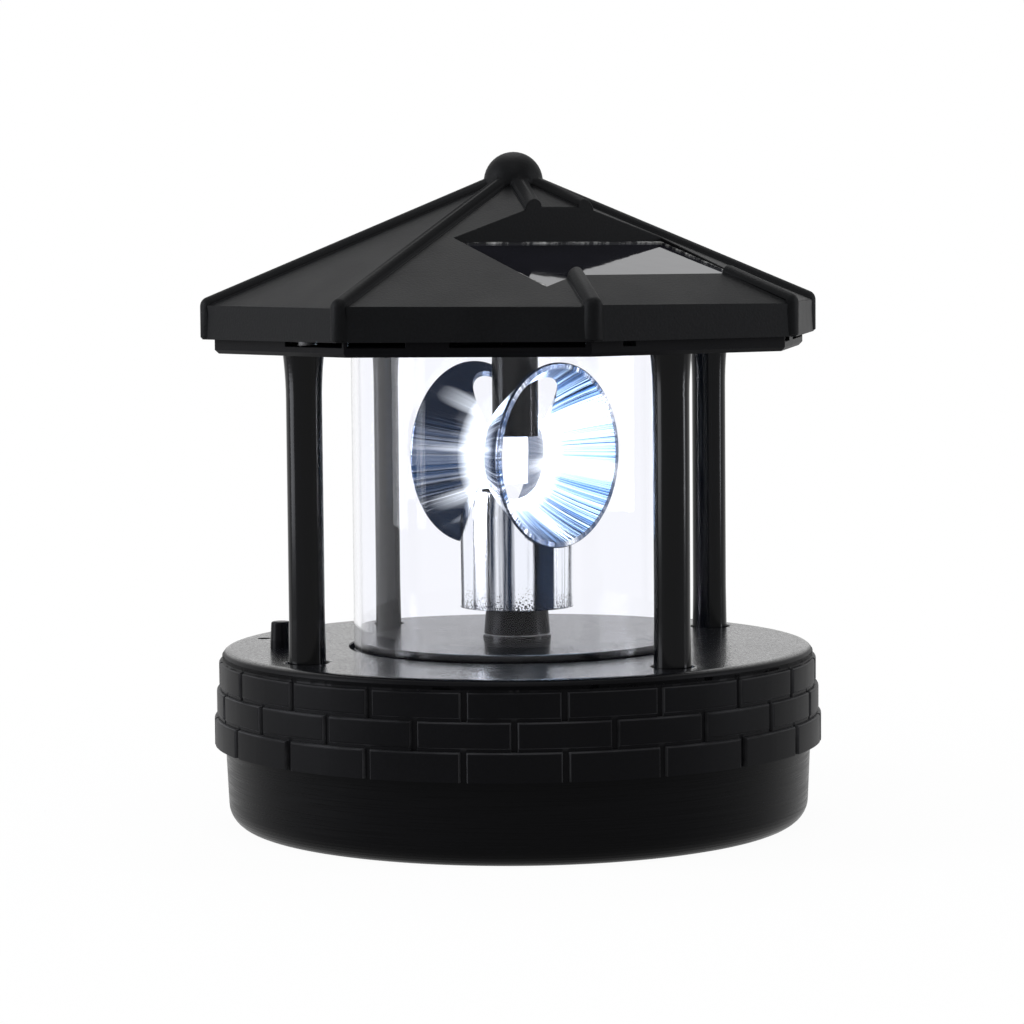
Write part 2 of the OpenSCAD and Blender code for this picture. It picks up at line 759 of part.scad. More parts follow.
module battery_cell() {
    color([0.15, 0.45, 0.25])
        translate([-battery_l / 2 - 0.4, battery_at, battery_z])
            rotate([0, 90, 0]) {
                cylinder(r = battery_d / 2, h = battery_l);
                translate([0, 0, battery_l - eps])
                    cylinder(r = 2.7, h = 1.2);
            }
}

module battery_plate_contact() {
    color(steel)
        translate([bay_l / 2 - 0.9, battery_at - 5, battery_z - 5.6])
            difference() {
                cube([0.5, 10, 11.5]);
                translate([-1, 5, 9.6])
                    rotate([0, 90, 0])
                        cylinder(r = 0.7, h = 3);
            }
    color(steel)
        translate([battery_l / 2 + 0.8, battery_at, battery_z])
            rotate([0, 90, 0])
                cylinder(r = 2.4, h = bay_l / 2 - 0.9 - battery_l / 2 - 0.8 + eps);
}

module battery_spring_contact() {
    spring_x = -battery_l / 2 - 0.4;
    plate_x = -bay_l / 2 + 0.4;
    gap = spring_x - plate_x - 0.5;
    color(steel)
        translate([plate_x, battery_at - 5, battery_z - 5.6])
            cube([0.5, 10, 11.5]);
    color(steel)
        translate([plate_x + 0.5, battery_at, battery_z])
            rotate([0, 90, 0])
                difference() {
                    cylinder(r1 = 4.2, r2 = 3, h = gap);
                    translate([0, 0, -eps])
                        cylinder(r1 = 3.6, r2 = 2.4, h = gap + 2 * eps);
                }
}

module board_at() {
    rotate([0, 0, button_bearing])
        translate([board_r, 0, 0])
            children();
}

module circuit_board() {
    color([0.08, 0.35, 0.18])
        board_at()
            difference() {
                translate([-board_w / 2, -board_l / 2, board_z])
                    cube([board_w, board_l, board_t]);
                for (p = board_screw_at)
                    translate([p[0], p[1], board_z - 1])
                        cylinder(r = 1.1, h = board_t + 2);
            }
}

module board_parts() {
    top = board_z + board_t;
    color([0.12, 0.12, 0.13])
        board_at() {
            translate([-7, -2, top])
                cube([5, 4, 1.5]);
            translate([-6, 5.5, top])
                cylinder(r = 2.5, h = 5);
            translate([-4, -7, top])
                cylinder(r = 2.6, h = 4);
            for (y = [-9.5, 9])
                translate([2, y, top])
                    cube([2, 1.2, 0.6]);
        }
}

module board_screws() {
    color(steel)
        board_at()
            for (p = board_screw_at)
                translate([p[0], p[1], board_z])
                    screw(board_t + 4.5, 0.9, 1.9, 1.2);
}

module switch_body() {
    color([0.2, 0.2, 0.22])
        board_at()
            difference() {
                translate([button_at - board_r - 4, -4, board_z + board_t])
                    cube([8, 8, switch_h]);
                translate([button_at - board_r, 0, board_z + board_t + 1])
                    cylinder(r = 1.6, h = switch_h);
            }
}

// Return spring between the switch and the button's flange, one unbroken coil
module button_spring() {
    turns = 3;
    steps = 14;
    z0 = switch_top + spring_wire / 2;
    z1 = button_flange_z - spring_wire / 2;
    coil_r = 2.5;
    path = [for (i = [0:turns * steps]) let (a = 360 * i / steps)
        [button_pos[0] + coil_r * cos(a), button_pos[1] + coil_r * sin(a),
            z0 + (z1 - z0) * i / (turns * steps)]];
    color(steel)
        lead(path, spring_wire / 2, steps = 1, sides = 6, start_side = [0, 0, 1]);
}

module switch_button() {
    color(gloss_black)
        translate([button_pos[0], button_pos[1], 0]) {
            rotate_extrude()
                polygon(concat(
                    [[0, switch_top - 2.4], [1.5, switch_top - 2.4], [1.5, button_flange_z],
                        [3.3, button_flange_z], [3.3, button_flange_z + button_flange_t],
                        [button_d / 2, button_flange_z + button_flange_t],
                        [button_d / 2, base_top + button_travel]],
                    arc(button_d / 2 - button_taper - 0.5, base_top + button_h - 0.5, 0.5, 0, 90, 5),
                    [[0, base_top + button_h]]));
        }
}

// ---------------------------------------------------------------- drive

module motor_can() {
    color(steel)
        translate([motor_at[0], motor_at[1], 0])
            difference() {
                union() {
                    translate([0, 0, motor_z + 2])
                        cylinder(r = motor_r, h = motor_h - 2);
                    translate([0, 0, plate_z - eps])
                        cylinder(r = 3, h = plate_t * 0.8);
                }
                translate([0, 0, motor_z + 4])
                    cylinder(r = shaft_r - 0.5 + run_gap, h = 40);
                rotate([0, 0, motor_bearing])
                    for (s = [-1, 1])
                        translate([0, s * motor_screw_at, plate_z - 3])
                            cylinder(r = 0.8, h = 4);
            }
}

module motor_end_cap() {
    color(nylon)
        translate([motor_at[0], motor_at[1], motor_z]) {
            cylinder(r = motor_r - 0.8, h = 2);
            for (s = [-1, 1])
                translate([s * 5 - 0.75, -0.2, -2])
                    cube([1.5, 0.4, 2 + eps]);
        }
}

module motor_screws() {
    color(steel)
        translate([motor_at[0], motor_at[1], 0])
            rotate([0, 0, motor_bearing])
                for (s = [-1, 1])
                    translate([0, s * motor_screw_at, plate_top])
                        rotate([180, 0, 0])
                            screw(plate_t + 2.6, 0.8, 1.5, 0.9);
}

module gear_plate() {
    color([0.75, 0.75, 0.76])
        translate([0, 0, plate_z])
            linear_extrude(height = plate_t)
                difference() {
                    translate([0, (plate_posts[0][1] + plate_posts[2][1]) / 2])
                        rounded_rect(2 * (plate_posts[0][0] + plate_edge),
                            plate_posts[0][1] - plate_posts[2][1] + 2 * plate_edge, 4);
                    circle(shaft_r + run_gap);
                    translate(idler_at)
                        circle(idler_pin_r);
                    translate(motor_at)
                        circle(3.1);
                    translate(motor_at)
                        rotate(motor_bearing)
                            for (s = [-1, 1])
                                translate([0, s * motor_screw_at])
                                    circle(0.9);
                    for (p = plate_posts)
                        translate(p)
                            circle(screw_r + 0.1);
                }
}

module gear_plate_screws() {
    color(steel)
        for (p = plate_posts)
            translate([p[0], p[1], plate_z])
                screw(plate_t + 5.5);
}

module idler_pin() {
    color(steel)
        translate([idler_at[0], idler_at[1], plate_z])
            cylinder(r = idler_pin_r, h = cover_under - plate_z);
}

module motor_shaft() {
    color(steel)
        translate([motor_at[0], motor_at[1], motor_z + 5])
            cylinder(r = shaft_r - 0.5, h = idler_wheel_z + wheel_t + 1.5 - motor_z - 5);
}

module motor_pinion() {
    color(brass_tone)
        translate([motor_at[0], motor_at[1], idler_wheel_z - 0.4])
            difference() {
                gear(motor_teeth, wheel_t + 0.8, motor_bearing + 180);
                translate([0, 0, -1])
                    cylinder(r = shaft_r - 0.5, h = wheel_t + 4);
            }
}

module idler_gear() {
    color(nylon)
        translate([idler_at[0], idler_at[1], 0])
            difference() {
                union() {
                    translate([0, 0, idler_wheel_z])
                        gear(idler_wheel_teeth, wheel_t, motor_bearing + 180 / idler_wheel_teeth);
                    translate([0, 0, idler_wheel_z + wheel_t - eps])
                        gear(idler_pinion_teeth, wheel_top + 0.2 - idler_wheel_z - wheel_t,
                            idler_bearing + 180);
                    translate([0, 0, plate_top + turn_gap])
                        cylinder(r = 2.2, h = idler_wheel_z - plate_top - turn_gap + eps);
                }
                translate([0, 0, plate_top])
                    cylinder(r = idler_pin_r + run_gap, h = 20);
            }
}

module output_shaft() {
    color(steel)
        translate([0, 0, plate_z - 2])
            cylinder(r = shaft_r, h = shaft_top - plate_z + 2);
}

module output_wheel() {
    color(nylon)
        difference() {
            union() {
                translate([0, 0, wheel_z])
                    gear(output_teeth, wheel_t, idler_bearing + 180 / output_teeth);
                translate([0, 0, wheel_z - 1])
                    cylinder(r = 3.6, h = wheel_t + 1.2);
            }
            translate([0, 0, wheel_z - 2])
                cylinder(r = shaft_r, h = wheel_t + 4);
        }
}

module shaft_clip() {
    color(steel)
        translate([0, 0, plate_z - turn_gap - 0.8])
            difference() {
                cylinder(r = 3.2, h = 0.8);
                translate([0, 0, -1])
                    cylinder(r = shaft_r, h = 3);
            }
}

module shaft_bush() {
    color(brass_tone)
        difference() {
            union() {
                translate([0, 0, cover_under - bush_flange_t])
                    cylinder(r = bush_r + 1.2, h = bush_flange_t);
                translate([0, 0, cover_under - eps])
                    cylinder(r = bush_r, h = base_top + boss_h - cover_under);
            }
            translate([0, 0, cover_under - 2])
                cylinder(r = shaft_r + run_gap, h = 20);
        }
}

module drive_collar() {
    top_r = collar_r - collar_draft;
    color(black_plastic)
        difference() {
            union() {
                rotate_extrude()
                    polygon(concat(
                        [[0, collar_z], [collar_r, collar_z]],
                        arc(top_r - collar_round, hub_z - collar_round, collar_round, 0, 90, 6),
                        [[0, hub_z]]));
                translate([0, 0, hub_z - eps])
                    cylinder(r = collar_spigot_r, h = collar_spigot_l);
            }
            translate([0, 0, collar_z - 1])
                cylinder(r = shaft_r, h = shaft_top - collar_z + 1);
        }
}

// ---------------------------------------------------------------- reflector

horn_steps = 20;
function horn_slope(d) = horn_f * 2 / horn_in(d);
horn_inside = [for (i = [horn_steps:-1:0]) let (d = horn_reach * i / horn_steps) [horn_in(d), d]];
horn_outside = [for (i = [horn_steps - 1:-1:0])
    let (d = horn_reach * i / horn_steps, s = horn_slope(d), n = sqrt(1 + s * s))
    if (d > horn_wall && d < horn_reach - 1)
        [horn_in(d) + horn_wall / n, d - horn_wall * s / n]];
function both_ends(half) = concat(half, [for (i = [len(half) - 1:-1:0]) [half[i][0], -half[i][1]]]);

module along_horns() {
    translate([0, 0, horn_z])
        rotate([0, 0, horn_bearing])
            rotate([0, 90, 0])
                rotate_extrude($fn = 128)
                    children();
}

// Both horns as one turned body, filled from the axis out
module horns_solid() {
    along_horns()
        polygon(both_ends(concat(
            [[0, horn_reach], [horn_rim_r, horn_reach], [horn_rim_r, horn_reach - 0.8]],
            horn_outside)));
}

module horns_hollow() {
    along_horns()
        polygon(both_ends(concat(
            [[0, horn_reach + 1], [horn_in_rim, horn_reach + 1]],
            [for (p = horn_inside) if (p[1] > 0) p])));
}

module hub_outline(inset) {
    top_z = hub_z + hub_straight;
    r_top = hub_r - hub_draft - inset;
    polygon(concat(
        [[0, hub_z], [hub_r - inset, hub_z], [r_top, top_z]],
        [for (i = [1:8]) let (a = 90 * i / 8)
            [r_top - hub_shoulder_in * (1 - cos(a)), top_z + hub_shoulder * sin(a)]],
        [[0, top_z + hub_shoulder]]));
}

// The two horns are one moulding, open at the top for the lamp post
module reflector_horns() {
    color(chrome)
        difference() {
            horns_solid();
            horns_hollow();
            translate([0, 0, horn_z])
                cylinder(r = lamp_opening_r, h = 40);
        }
}

// The hub tube is a second moulding, saddled up under the horns
saddle_gap = 0.1;
saddle = [for (d = [12, 8, 5, 2.5]) [horn_in(d) + horn_wall + saddle_gap, d]];

module reflector_hub() {
    color(chrome)
        difference() {
            rotate_extrude($fn = 128)
                hub_outline(0);
            translate([0, 0, hub_z + hub_web_t])
                cylinder(r = hub_r - hub_draft - hub_wall, h = hub_straight - hub_web_t);
            translate([0, 0, hub_z + hub_straight - 1])
                cylinder(r = hub_r - hub_draft - hub_wall - hub_shoulder_in, h = hub_shoulder + 2);
            translate([0, 0, hub_z - 1])
                cylinder(r = collar_spigot_r, h = collar_spigot_l + 1);
            translate([0, 0, hub_z])
                cylinder(r = shaft_r, h = shaft_top - hub_z);
            along_horns()
                polygon(both_ends(concat([[0, horn_reach + 4], [horn_rim_r, horn_reach + 4]],
                    saddle)));
        }
}

// ---------------------------------------------------------------- lantern

module lantern_tube() {
    color([0.85, 0.88, 0.95, 0.3])
        translate([0, 0, tube_z])
            difference() {
                cylinder(r = tube_r, h = tube_top - tube_z, $fn = 192);
                translate([0, 0, -1])
                    cylinder(r = tube_in_r, h = tube_top - tube_z + 2, $fn = 192);
            }
}

module tube_ring(z) {
    color([0.12, 0.12, 0.12])
        translate([0, 0, z])
            difference() {
                cylinder(r = tube_r, h = gasket_t);
                translate([0, 0, -1])
                    cylinder(r = tube_in_r, h = gasket_t + 2);
            }
}

module tube_ring_lower() {
    tube_ring(groove_z);
}

module tube_ring_upper() {
    tube_ring(tube_top);
}

module pillar(direction, bore_r, bore_ends) {
    foot_z = base_top - seat_depth;
    low_z = pillar_boss_z + pillar_ledge;
    flare = pillar_top_d / 2 - pillar_d / 2;
    color(gloss_black)
        rotate([0, 0, direction])
            translate([pillar_at, 0, 0])
                difference() {
                    rotate_extrude()
                        polygon(concat(
                            [[0, low_z], [spigot_d / 2, low_z], [spigot_d / 2, foot_z],
                                [pillar_foot_d / 2, foot_z],
                                [pillar_d / 2, base_top + pillar_flare_l],
                                [pillar_d / 2, tray_z - pillar_flare_l]],
                            [for (i = [1:5]) let (t = i / 5)
                                [pillar_d / 2 + flare * t * t, tray_z - pillar_flare_l * (1 - t)]],
                            [[spigot_d / 2, tray_z], [spigot_d / 2, tray_top], [0, tray_top]]));
                    if (bore_ends) {
                        translate([0, 0, low_z - 1])
                            cylinder(r = bore_r, h = 12);
                        translate([0, 0, tray_top - 11])
                            cylinder(r = bore_r, h = 12);
                    } else {
                        translate([0, 0, low_z - 1])
                            cylinder(r = bore_r, h = tray_top - low_z + 2);
                    }
                }
}

module pillar_left() {
    pillar(180, screw_r, true);
}

module pillar_front() {
    pillar(270, screw_r, true);
}

module pillar_right() {
    pillar(0, screw_r, true);
}

module pillar_back() {
    pillar(90, lead_bore / 2, false);
}

module pillar_screws_lower() {
    color(steel)
        around(pillar_dir, pillar_at)
            translate([0, 0, pillar_boss_z])
                screw(pillar_ledge + 9);
}

module pillar_screws_upper() {
    color(steel)
        around(pillar_dir, pillar_at)
            translate([0, 0, tray_top])
                rotate([180, 0, 0])
                    screw(9, hr = head_r + 0.6);
}

// ---------------------------------------------------------------- tray and lamp

// Openings in the upright rim: [bearing of the face, start, end], both as a share of the
// face's length, counted from its left corner as seen from outside
rim_slots = [[180, 0.56, 0.985], [225, 0.015, 0.25], [225, 0.43, 0.975], [270, 0.16, 0.22],
    [315, 0.015, 0.25], [315, 0.43, 0.975], [0, 0.16, 0.22], [45, 0.015, 0.25],
    [45, 0.43, 0.975], [90, 0.16, 0.22], [135, 0.015, 0.25], [135, 0.43, 0.975]];

module soffit_tray() {
    color(black_plastic)
        difference() {
            union() {
                eight_sided(both_sides([[tray_a - tray_chamfer, tray_z],
                    [tray_a, tray_z + tray_chamfer], [tray_a, tray_top]]));
                difference() {
                    eight_sided(both_sides([[tray_a, tray_top - 0.5],
                        [tray_a, tray_top + tray_rim_h]]));
                    eight_sided(both_sides([[tray_a - tray_rim_t, tray_top - 1],
                        [tray_a - tray_rim_t, tray_top + tray_rim_h + 1]]));
                    for (s = rim_slots)
                        rotate([0, 0, s[0] + 90])
                            translate([tray_face * (s[1] - 0.5), -tray_a - 1, tray_top])
                                cube([tray_face * (s[2] - s[1]), tray_rim_t + 2, tray_rim_h + 1]);
                }
                around(roof_screw_dir, roof_screw_at)
                    translate([0, 0, tray_top - eps])
                        cylinder(r = roof_pad_r, h = roof_pad_h + eps);
            }
            translate([0, 0, tray_z - 1])
                difference() {
                    cylinder(r = tube_r + 0.25, h = tray_groove + 1);
                    translate([0, 0, -1])
                        cylinder(r = tube_in_r - 0.25, h = tray_groove + 3);
                }
            translate([0, 0, tray_z - 1])
                cylinder(r = post_d / 2 + fit, h = tray_t + 2);
            around([0, 90, 180, 270], pillar_at)
                translate([0, 0, tray_z - 1])
                    cylinder(r = spigot_d / 2 + fit, h = tray_t + 2);
            around(roof_screw_dir, roof_screw_at) {
                translate([0, 0, tray_z - eps])
                    cylinder(r = head_r + 0.3, h = head_h + 0.2);
                translate([0, 0, tray_z])
                    cylinder(r = screw_r + 0.15, h = tray_t + roof_pad_h + 1);
            }
        }
}

module lamp_post() {
    low = tray_z - post_l;
    color(gloss_black)
        difference() {
            union() {
                translate([0, 0, low])
                    cylinder(r = post_d / 2, h = tray_top - low + 1);
                translate([0, 0, tray_top])
                    cylinder(r = post_flange_r, h = 1.5);
            }
            translate([0, 0, low + post_end_t])
                cylinder(r = post_d / 2 - post_wall, h = post_l + tray_t + 2);
            translate([-lamp_w / 2, -lamp_t / 2, low - 1])
                cube([lamp_w, lamp_t, post_end_t + 2]);
        }
}

module lamp_board() {
    low = tray_z - post_l;
    color([0.9, 0.9, 0.92])
        translate([-lamp_w / 2, -lamp_t / 2, low - lamp_l])
            cube([lamp_w, lamp_t, lamp_l + post_end_t]);
}

module lamp_chips() {
    color([1, 1, 0.95])
        for (s = [-1, 1])
            translate([-chip_w / 2, s > 0 ? lamp_t / 2 : -lamp_t / 2 - chip_t, horn_z - chip_h / 2])
                cube([chip_w, chip_t, chip_h]);
}

// ---------------------------------------------------------------- roof

module roof_outer() {
    eight_sided(both_sides([[fascia_a, fascia_z], [eave_a, eave_z], [0.001, apex_z]]));
}

module roof_inner() {
    in_a = fascia_a - roof_wall;
    slope_z = apex_z - roof_in_drop;
    eight_sided(both_sides([[in_a, fascia_z - 1], [in_a, slope_z - in_a * tan(roof_pitch)],
        [0.001, slope_z]]));
}

module hip_rib() {
    sink = rib_r - rib_proud;
    post_at = roof_r - rib_r + corner_proud;
    knee_z = eave_z - sink / cos(hip_pitch) + (hip_r - post_at) * tan(hip_pitch);
    run = post_at / cos(hip_pitch);
    translate([post_at, 0, knee_z]) {
        rotate([0, -(90 - hip_pitch), 0])
            cylinder(r = rib_r, h = run, $fn = 48);
        sphere(r = rib_r, $fn = 48);
    }
    translate([post_at, 0, fascia_z + post_step])
        cylinder(r = rib_r, h = knee_z - fascia_z - post_step, $fn = 48);
}

// Y-Z outline of the pocket, grown by a wall and sunk by a depth
function pocket_outline(wall, depth, top) = [
    [-pocket_back + wall, pocket_back_z - depth + wall * tan(panel_tilt)],
    [-pocket_front - wall, pocket_front_z - depth - wall * tan(panel_tilt)],
    [-pocket_front - wall, top], [-pocket_back + wall, top]];

// A point of the panel's own plane, along it and above it, as Y and Z
function in_pocket_plane(along, up) = [
    pocket_mid[1] + along * cos(panel_tilt) - up * sin(panel_tilt),
    pocket_mid[2] + along * sin(panel_tilt) + up * cos(panel_tilt)];

module in_pocket() {
    translate(pocket_mid)
        rotate([panel_tilt, 0, 0])
            children();
}

module roof_shell() {
    block_depth = (panel_stack + pocket_floor_t) / cos(panel_tilt);
    color([0.14, 0.14, 0.15])
        difference() {
            union() {
                difference() {
                    union() {
                        roof_outer();
                        around([22.5:45:337.5], 0)
                            hip_rib();
                    }
                    roof_inner();
                }
                intersection() {
                    roof_outer();
                    along_x(2 * pocket_half_w + 4, pocket_outline(2, block_depth, apex_z + 5));
                }
                intersection() {
                    roof_outer();
                    around(roof_screw_dir, roof_screw_at)
                        translate([0, 0, tray_top + roof_pad_h])
                            cylinder(r = roof_boss_r, h = apex_z - tray_top);
                }
                translate([0, 0, ball_z])
                    sphere(r = ball_r);
            }
            along_x(2 * pocket_half_w, [[-pocket_back, apex_z + 20], [-pocket_back, pocket_back_z],
                in_pocket_plane(pocket_l / 2, -panel_stack), in_pocket_plane(-pocket_l / 2, -panel_stack),
                [-pocket_front, pocket_front_z], [-pocket_front, apex_z + 20]]);
            in_pocket()
                translate([0, panel_lead_y, -20])
                    cylinder(r = lead_d / 2 + 0.4, h = 20);
            around(roof_screw_dir, roof_screw_at)
                translate([0, 0, tray_top])
                    cylinder(r = screw_r, h = roof_pad_h + 8);
        }
}

module roof_screws() {
    color(steel)
        around(roof_screw_dir, roof_screw_at)
            translate([0, 0, tray_z + head_h + 0.2 - eps])
                screw(tray_t + roof_pad_h + 5);
}

// ---------------------------------------------------------------- solar panel

module panel_board() {
    color([0.10, 0.12, 0.14])
        in_pocket()
            translate([-panel_w / 2, -panel_l / 2, -panel_stack])
                cube([panel_w, panel_l, panel_board_t]);
}

module solar_cells() {
    margin = 1.2;
    strip_l = (panel_l - 2 * margin - (cell_strips - 1) * cell_gap) / cell_strips;
    color([0.06, 0.08, 0.22])
        in_pocket()
            for (i = [0:cell_strips - 1])
                translate([-panel_w / 2 + margin, -panel_l / 2 + margin + i * (strip_l + cell_gap),
                    panel_board_t - panel_stack])
                    cube([panel_w - 2 * margin, strip_l, cell_t]);
}

module panel_resin() {
    color([0.5, 0.5, 0.6, 0.4])
        in_pocket()
            translate([-panel_w / 2, -panel_l / 2, -panel_sunk - resin_t])
                cube([panel_w, panel_l, resin_t]);
}

module panel_sealant() {
    color([0.9, 0.9, 0.9])
        in_pocket()
            difference() {
                translate([-pocket_half_w, -pocket_l / 2, -panel_stack])
                    cube([2 * pocket_half_w, pocket_l, panel_stack]);
                translate([-panel_w / 2, -panel_l / 2, -panel_stack - 1])
                    cube([panel_w, panel_l, panel_stack + 2]);
            }
}

// ---------------------------------------------------------------- leads

module panel_lead() {
    color([0.7, 0.1, 0.1])
        lead(panel_lead_route, lead_d / 2);
}

module lamp_lead() {
    color([0.9, 0.8, 0.2])
        lead(lamp_lead_route, lead_d / 2);
}

module motor_lead() {
    start = [motor_at[0] - 5, motor_at[1], motor_z - 2 - lead_end_gap];
    color([0.1, 0.1, 0.1])
        lead(concat([start, start - [0, 0, 1.8]], motor_lead_route, [[-32, 16, board_z - lead_end_gap]]), lead_d / 2);
}

module battery_lead() {
    start = [-bay_l / 2 + 0.1, battery_at, bay_top - 2.5];
    color([0.7, 0.1, 0.1])
        lead(concat([start, start - [3, 0, 0]], battery_lead_route, [[-37, 20, board_z - lead_end_gap]]), lead_d / 2);
}

base_pan();
base_cover();
base_screws();
battery_door();
battery_door_screw();
battery_cell();
battery_plate_contact();
battery_spring_contact();
circuit_board();
board_parts();
board_screws();
switch_body();
button_spring();
switch_button();
motor_can();
motor_end_cap();
motor_screws();
gear_plate();
gear_plate_screws();
idler_pin();
motor_shaft();
motor_pinion();
idler_gear();
output_shaft();
output_wheel();
shaft_clip();
shaft_bush();
drive_collar();
reflector_horns();
reflector_hub();
lantern_tube();
tube_ring_lower();
tube_ring_upper();
pillar_left();
pillar_front();
pillar_right();
pillar_back();
pillar_screws_lower();
pillar_screws_upper();
soffit_tray();
lamp_post();
lamp_board();
lamp_chips();
roof_shell();
roof_screws();
panel_board();
solar_cells();
panel_resin();
panel_sealant();
panel_lead();
lamp_lead();
motor_lead();
battery_lead();
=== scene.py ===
"""Lantern head of a solar garden lighthouse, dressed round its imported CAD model.

Metres, +Z up, origin at the centre of the underside. The solar panel faces -Y, the
pillars stand on the X and Y axes, and the reflector turns about Z.
"""

import math

import bmesh
import bpy
from mathutils import Matrix, Vector


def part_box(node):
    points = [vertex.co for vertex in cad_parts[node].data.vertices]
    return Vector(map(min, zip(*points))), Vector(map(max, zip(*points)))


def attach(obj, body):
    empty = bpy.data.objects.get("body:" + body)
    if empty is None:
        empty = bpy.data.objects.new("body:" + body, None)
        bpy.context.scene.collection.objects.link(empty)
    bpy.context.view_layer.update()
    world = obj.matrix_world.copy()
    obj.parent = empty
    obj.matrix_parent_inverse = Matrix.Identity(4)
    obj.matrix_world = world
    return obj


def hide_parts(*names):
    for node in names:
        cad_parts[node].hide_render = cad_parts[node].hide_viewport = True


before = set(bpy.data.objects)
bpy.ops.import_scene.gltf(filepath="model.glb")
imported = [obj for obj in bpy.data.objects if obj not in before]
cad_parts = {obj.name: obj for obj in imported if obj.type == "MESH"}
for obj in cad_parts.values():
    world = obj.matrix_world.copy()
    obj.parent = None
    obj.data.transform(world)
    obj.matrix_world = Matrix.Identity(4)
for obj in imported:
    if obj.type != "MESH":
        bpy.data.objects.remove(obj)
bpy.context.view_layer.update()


# ------------------------------------------------------------------ view
# The camera stands at the corner between the panel's side and the left one, above the
# eaves, with a long lens. It leans by half a degree, as the photo does.

CAMERA_FROM_AXIS = 0.711
CAMERA_HEIGHT = 0.1195
CAMERA_BEARING = math.radians(-125.95)
CAMERA_PITCH = math.radians(4.29)
CAMERA_TURN = math.radians(0.072)
CAMERA_ROLL = math.radians(0.5)
CAMERA_LENS = 117.0

camera_data = bpy.data.cameras.new("view")
camera_data.lens = CAMERA_LENS
camera_data.sensor_width = 36
camera = bpy.data.objects.new("view", camera_data)
bpy.context.scene.collection.objects.link(camera)
camera_place = Vector((
    CAMERA_FROM_AXIS * math.cos(CAMERA_BEARING),
    CAMERA_FROM_AXIS * math.sin(CAMERA_BEARING),
    CAMERA_HEIGHT,
))
camera.matrix_world = (
    Matrix.Translation(camera_place)
    @ Matrix.Rotation(CAMERA_BEARING + math.radians(90) + CAMERA_TURN, 4, "Z")
    @ Matrix.Rotation(math.radians(90) - CAMERA_PITCH, 4, "X")
    @ Matrix.Rotation(-CAMERA_ROLL, 4, "Z")
)
bpy.context.scene.camera = camera
bpy.context.scene.view_settings.view_transform = "Standard"


# ------------------------------------------------------------------ room
# The lantern stands on a white table in a white room. The room lights it evenly, two
# tall soft boxes at its sides draw the highlights on its black plastic, and two high ones
# light the roof and the top of the base.

class Wire:
    """One output of a shader node. Sums and products of wires add their Math nodes."""

    def __init__(self, tree, socket=None):
        self.tree = tree
        self.socket = socket

    def node(self, kind, settings=None, sockets=None, output=0):
        """Adds a node, sets it, fills its sockets, and gives one of its outputs."""
        made = self.tree.nodes.new("ShaderNode" + kind)
        for name, value in (settings or {}).items():
            setattr(made, name, value)
        for name, value in (sockets or {}).items():
            if isinstance(value, Wire):
                self.tree.links.new(value.socket, made.inputs[name])
            else:
                made.inputs[name].default_value = value
        return Wire(self.tree, made.outputs[output] if made.outputs else None)

    def math(self, operation, *values):
        return self.node("Math", {"operation": operation}, dict(enumerate(values)))

    def vector(self, operation, *values):
        """Vector maths on this wire: a vector, or a number where the operation gives one."""
        output = 1 if operation in ("LENGTH", "DOT_PRODUCT") else 0
        sockets = dict(enumerate((self, *values)))
        return self.node("VectorMath", {"operation": operation}, sockets, output)

    def part(self, axis):
        """One of a vector's three numbers."""
        return self.node("SeparateXYZ", {}, {0: self}, axis)

    def __add__(self, other):
        return self.math("ADD", self, other)

    def __radd__(self, other):
        return self.math("ADD", other, self)

    def __sub__(self, other):
        return self.math("SUBTRACT", self, other)

    def __rsub__(self, other):
        return self.math("SUBTRACT", other, self)

    def __mul__(self, other):
        return self.math("MULTIPLY", self, other)

    def within(self, low, high):
        return self.math("MINIMUM", self.math("MAXIMUM", self, low), high)


def seen_directly(tree):
    """1 for what the camera, a mirror or clear plastic shows, and 0 for plain light."""
    rays = Wire(tree).node("LightPath")
    outputs = rays.socket.node.outputs
    seen = rays
    for ray in ("Is Glossy Ray", "Is Transmission Ray"):
        seen = seen + Wire(tree, outputs[ray])
    return seen.within(0, 1)


# the table glows a little less close to the lantern, so that a faint shadow shows there
ROOM_LIGHT = 0.3
TABLE_SIZE = 3.0
TABLE_DROP = 0.00005
TABLE_GLOW = 0.95
TABLE_FADE = 0.2
AIM_HEIGHT = 0.08

room = bpy.data.worlds.new("room")
bpy.context.scene.world = room
room.use_nodes = True
background = room.node_tree.nodes["Background"]
background.inputs["Color"].default_value = (1, 1, 1, 1)
seen = seen_directly(room.node_tree)
room.node_tree.links.new((seen + (1 - seen) * ROOM_LIGHT).socket, background.inputs["Strength"])

white = bpy.data.materials.new("table_white")
white.use_nodes = True
white.node_tree.nodes.clear()
seen = seen_directly(white.node_tree)
place = seen.node("TexCoord", output="Object")
surface = seen.node("MixShader", {}, {
    0: seen * (place.vector("LENGTH") * TABLE_FADE + TABLE_GLOW).within(0, 1),
    1: seen.node("BsdfDiffuse", {}, {"Color": (0.9, 0.9, 0.9, 1)}),
    2: seen.node("Emission", {}, {"Color": (1, 1, 1, 1), "Strength": 1.0}),
})
seen.node("OutputMaterial", {}, {"Surface": surface})
table_mesh = bpy.data.meshes.new("table")
half = TABLE_SIZE / 2
corners = [(-half, -half), (half, -half), (half, half), (-half, half)]
table_mesh.from_pydata([(x, y, -TABLE_DROP) for x, y in corners], [], [(0, 1, 2, 3)])
table_mesh.materials.append(white)
table = bpy.data.objects.new("table", table_mesh)
bpy.context.scene.collection.objects.link(table)


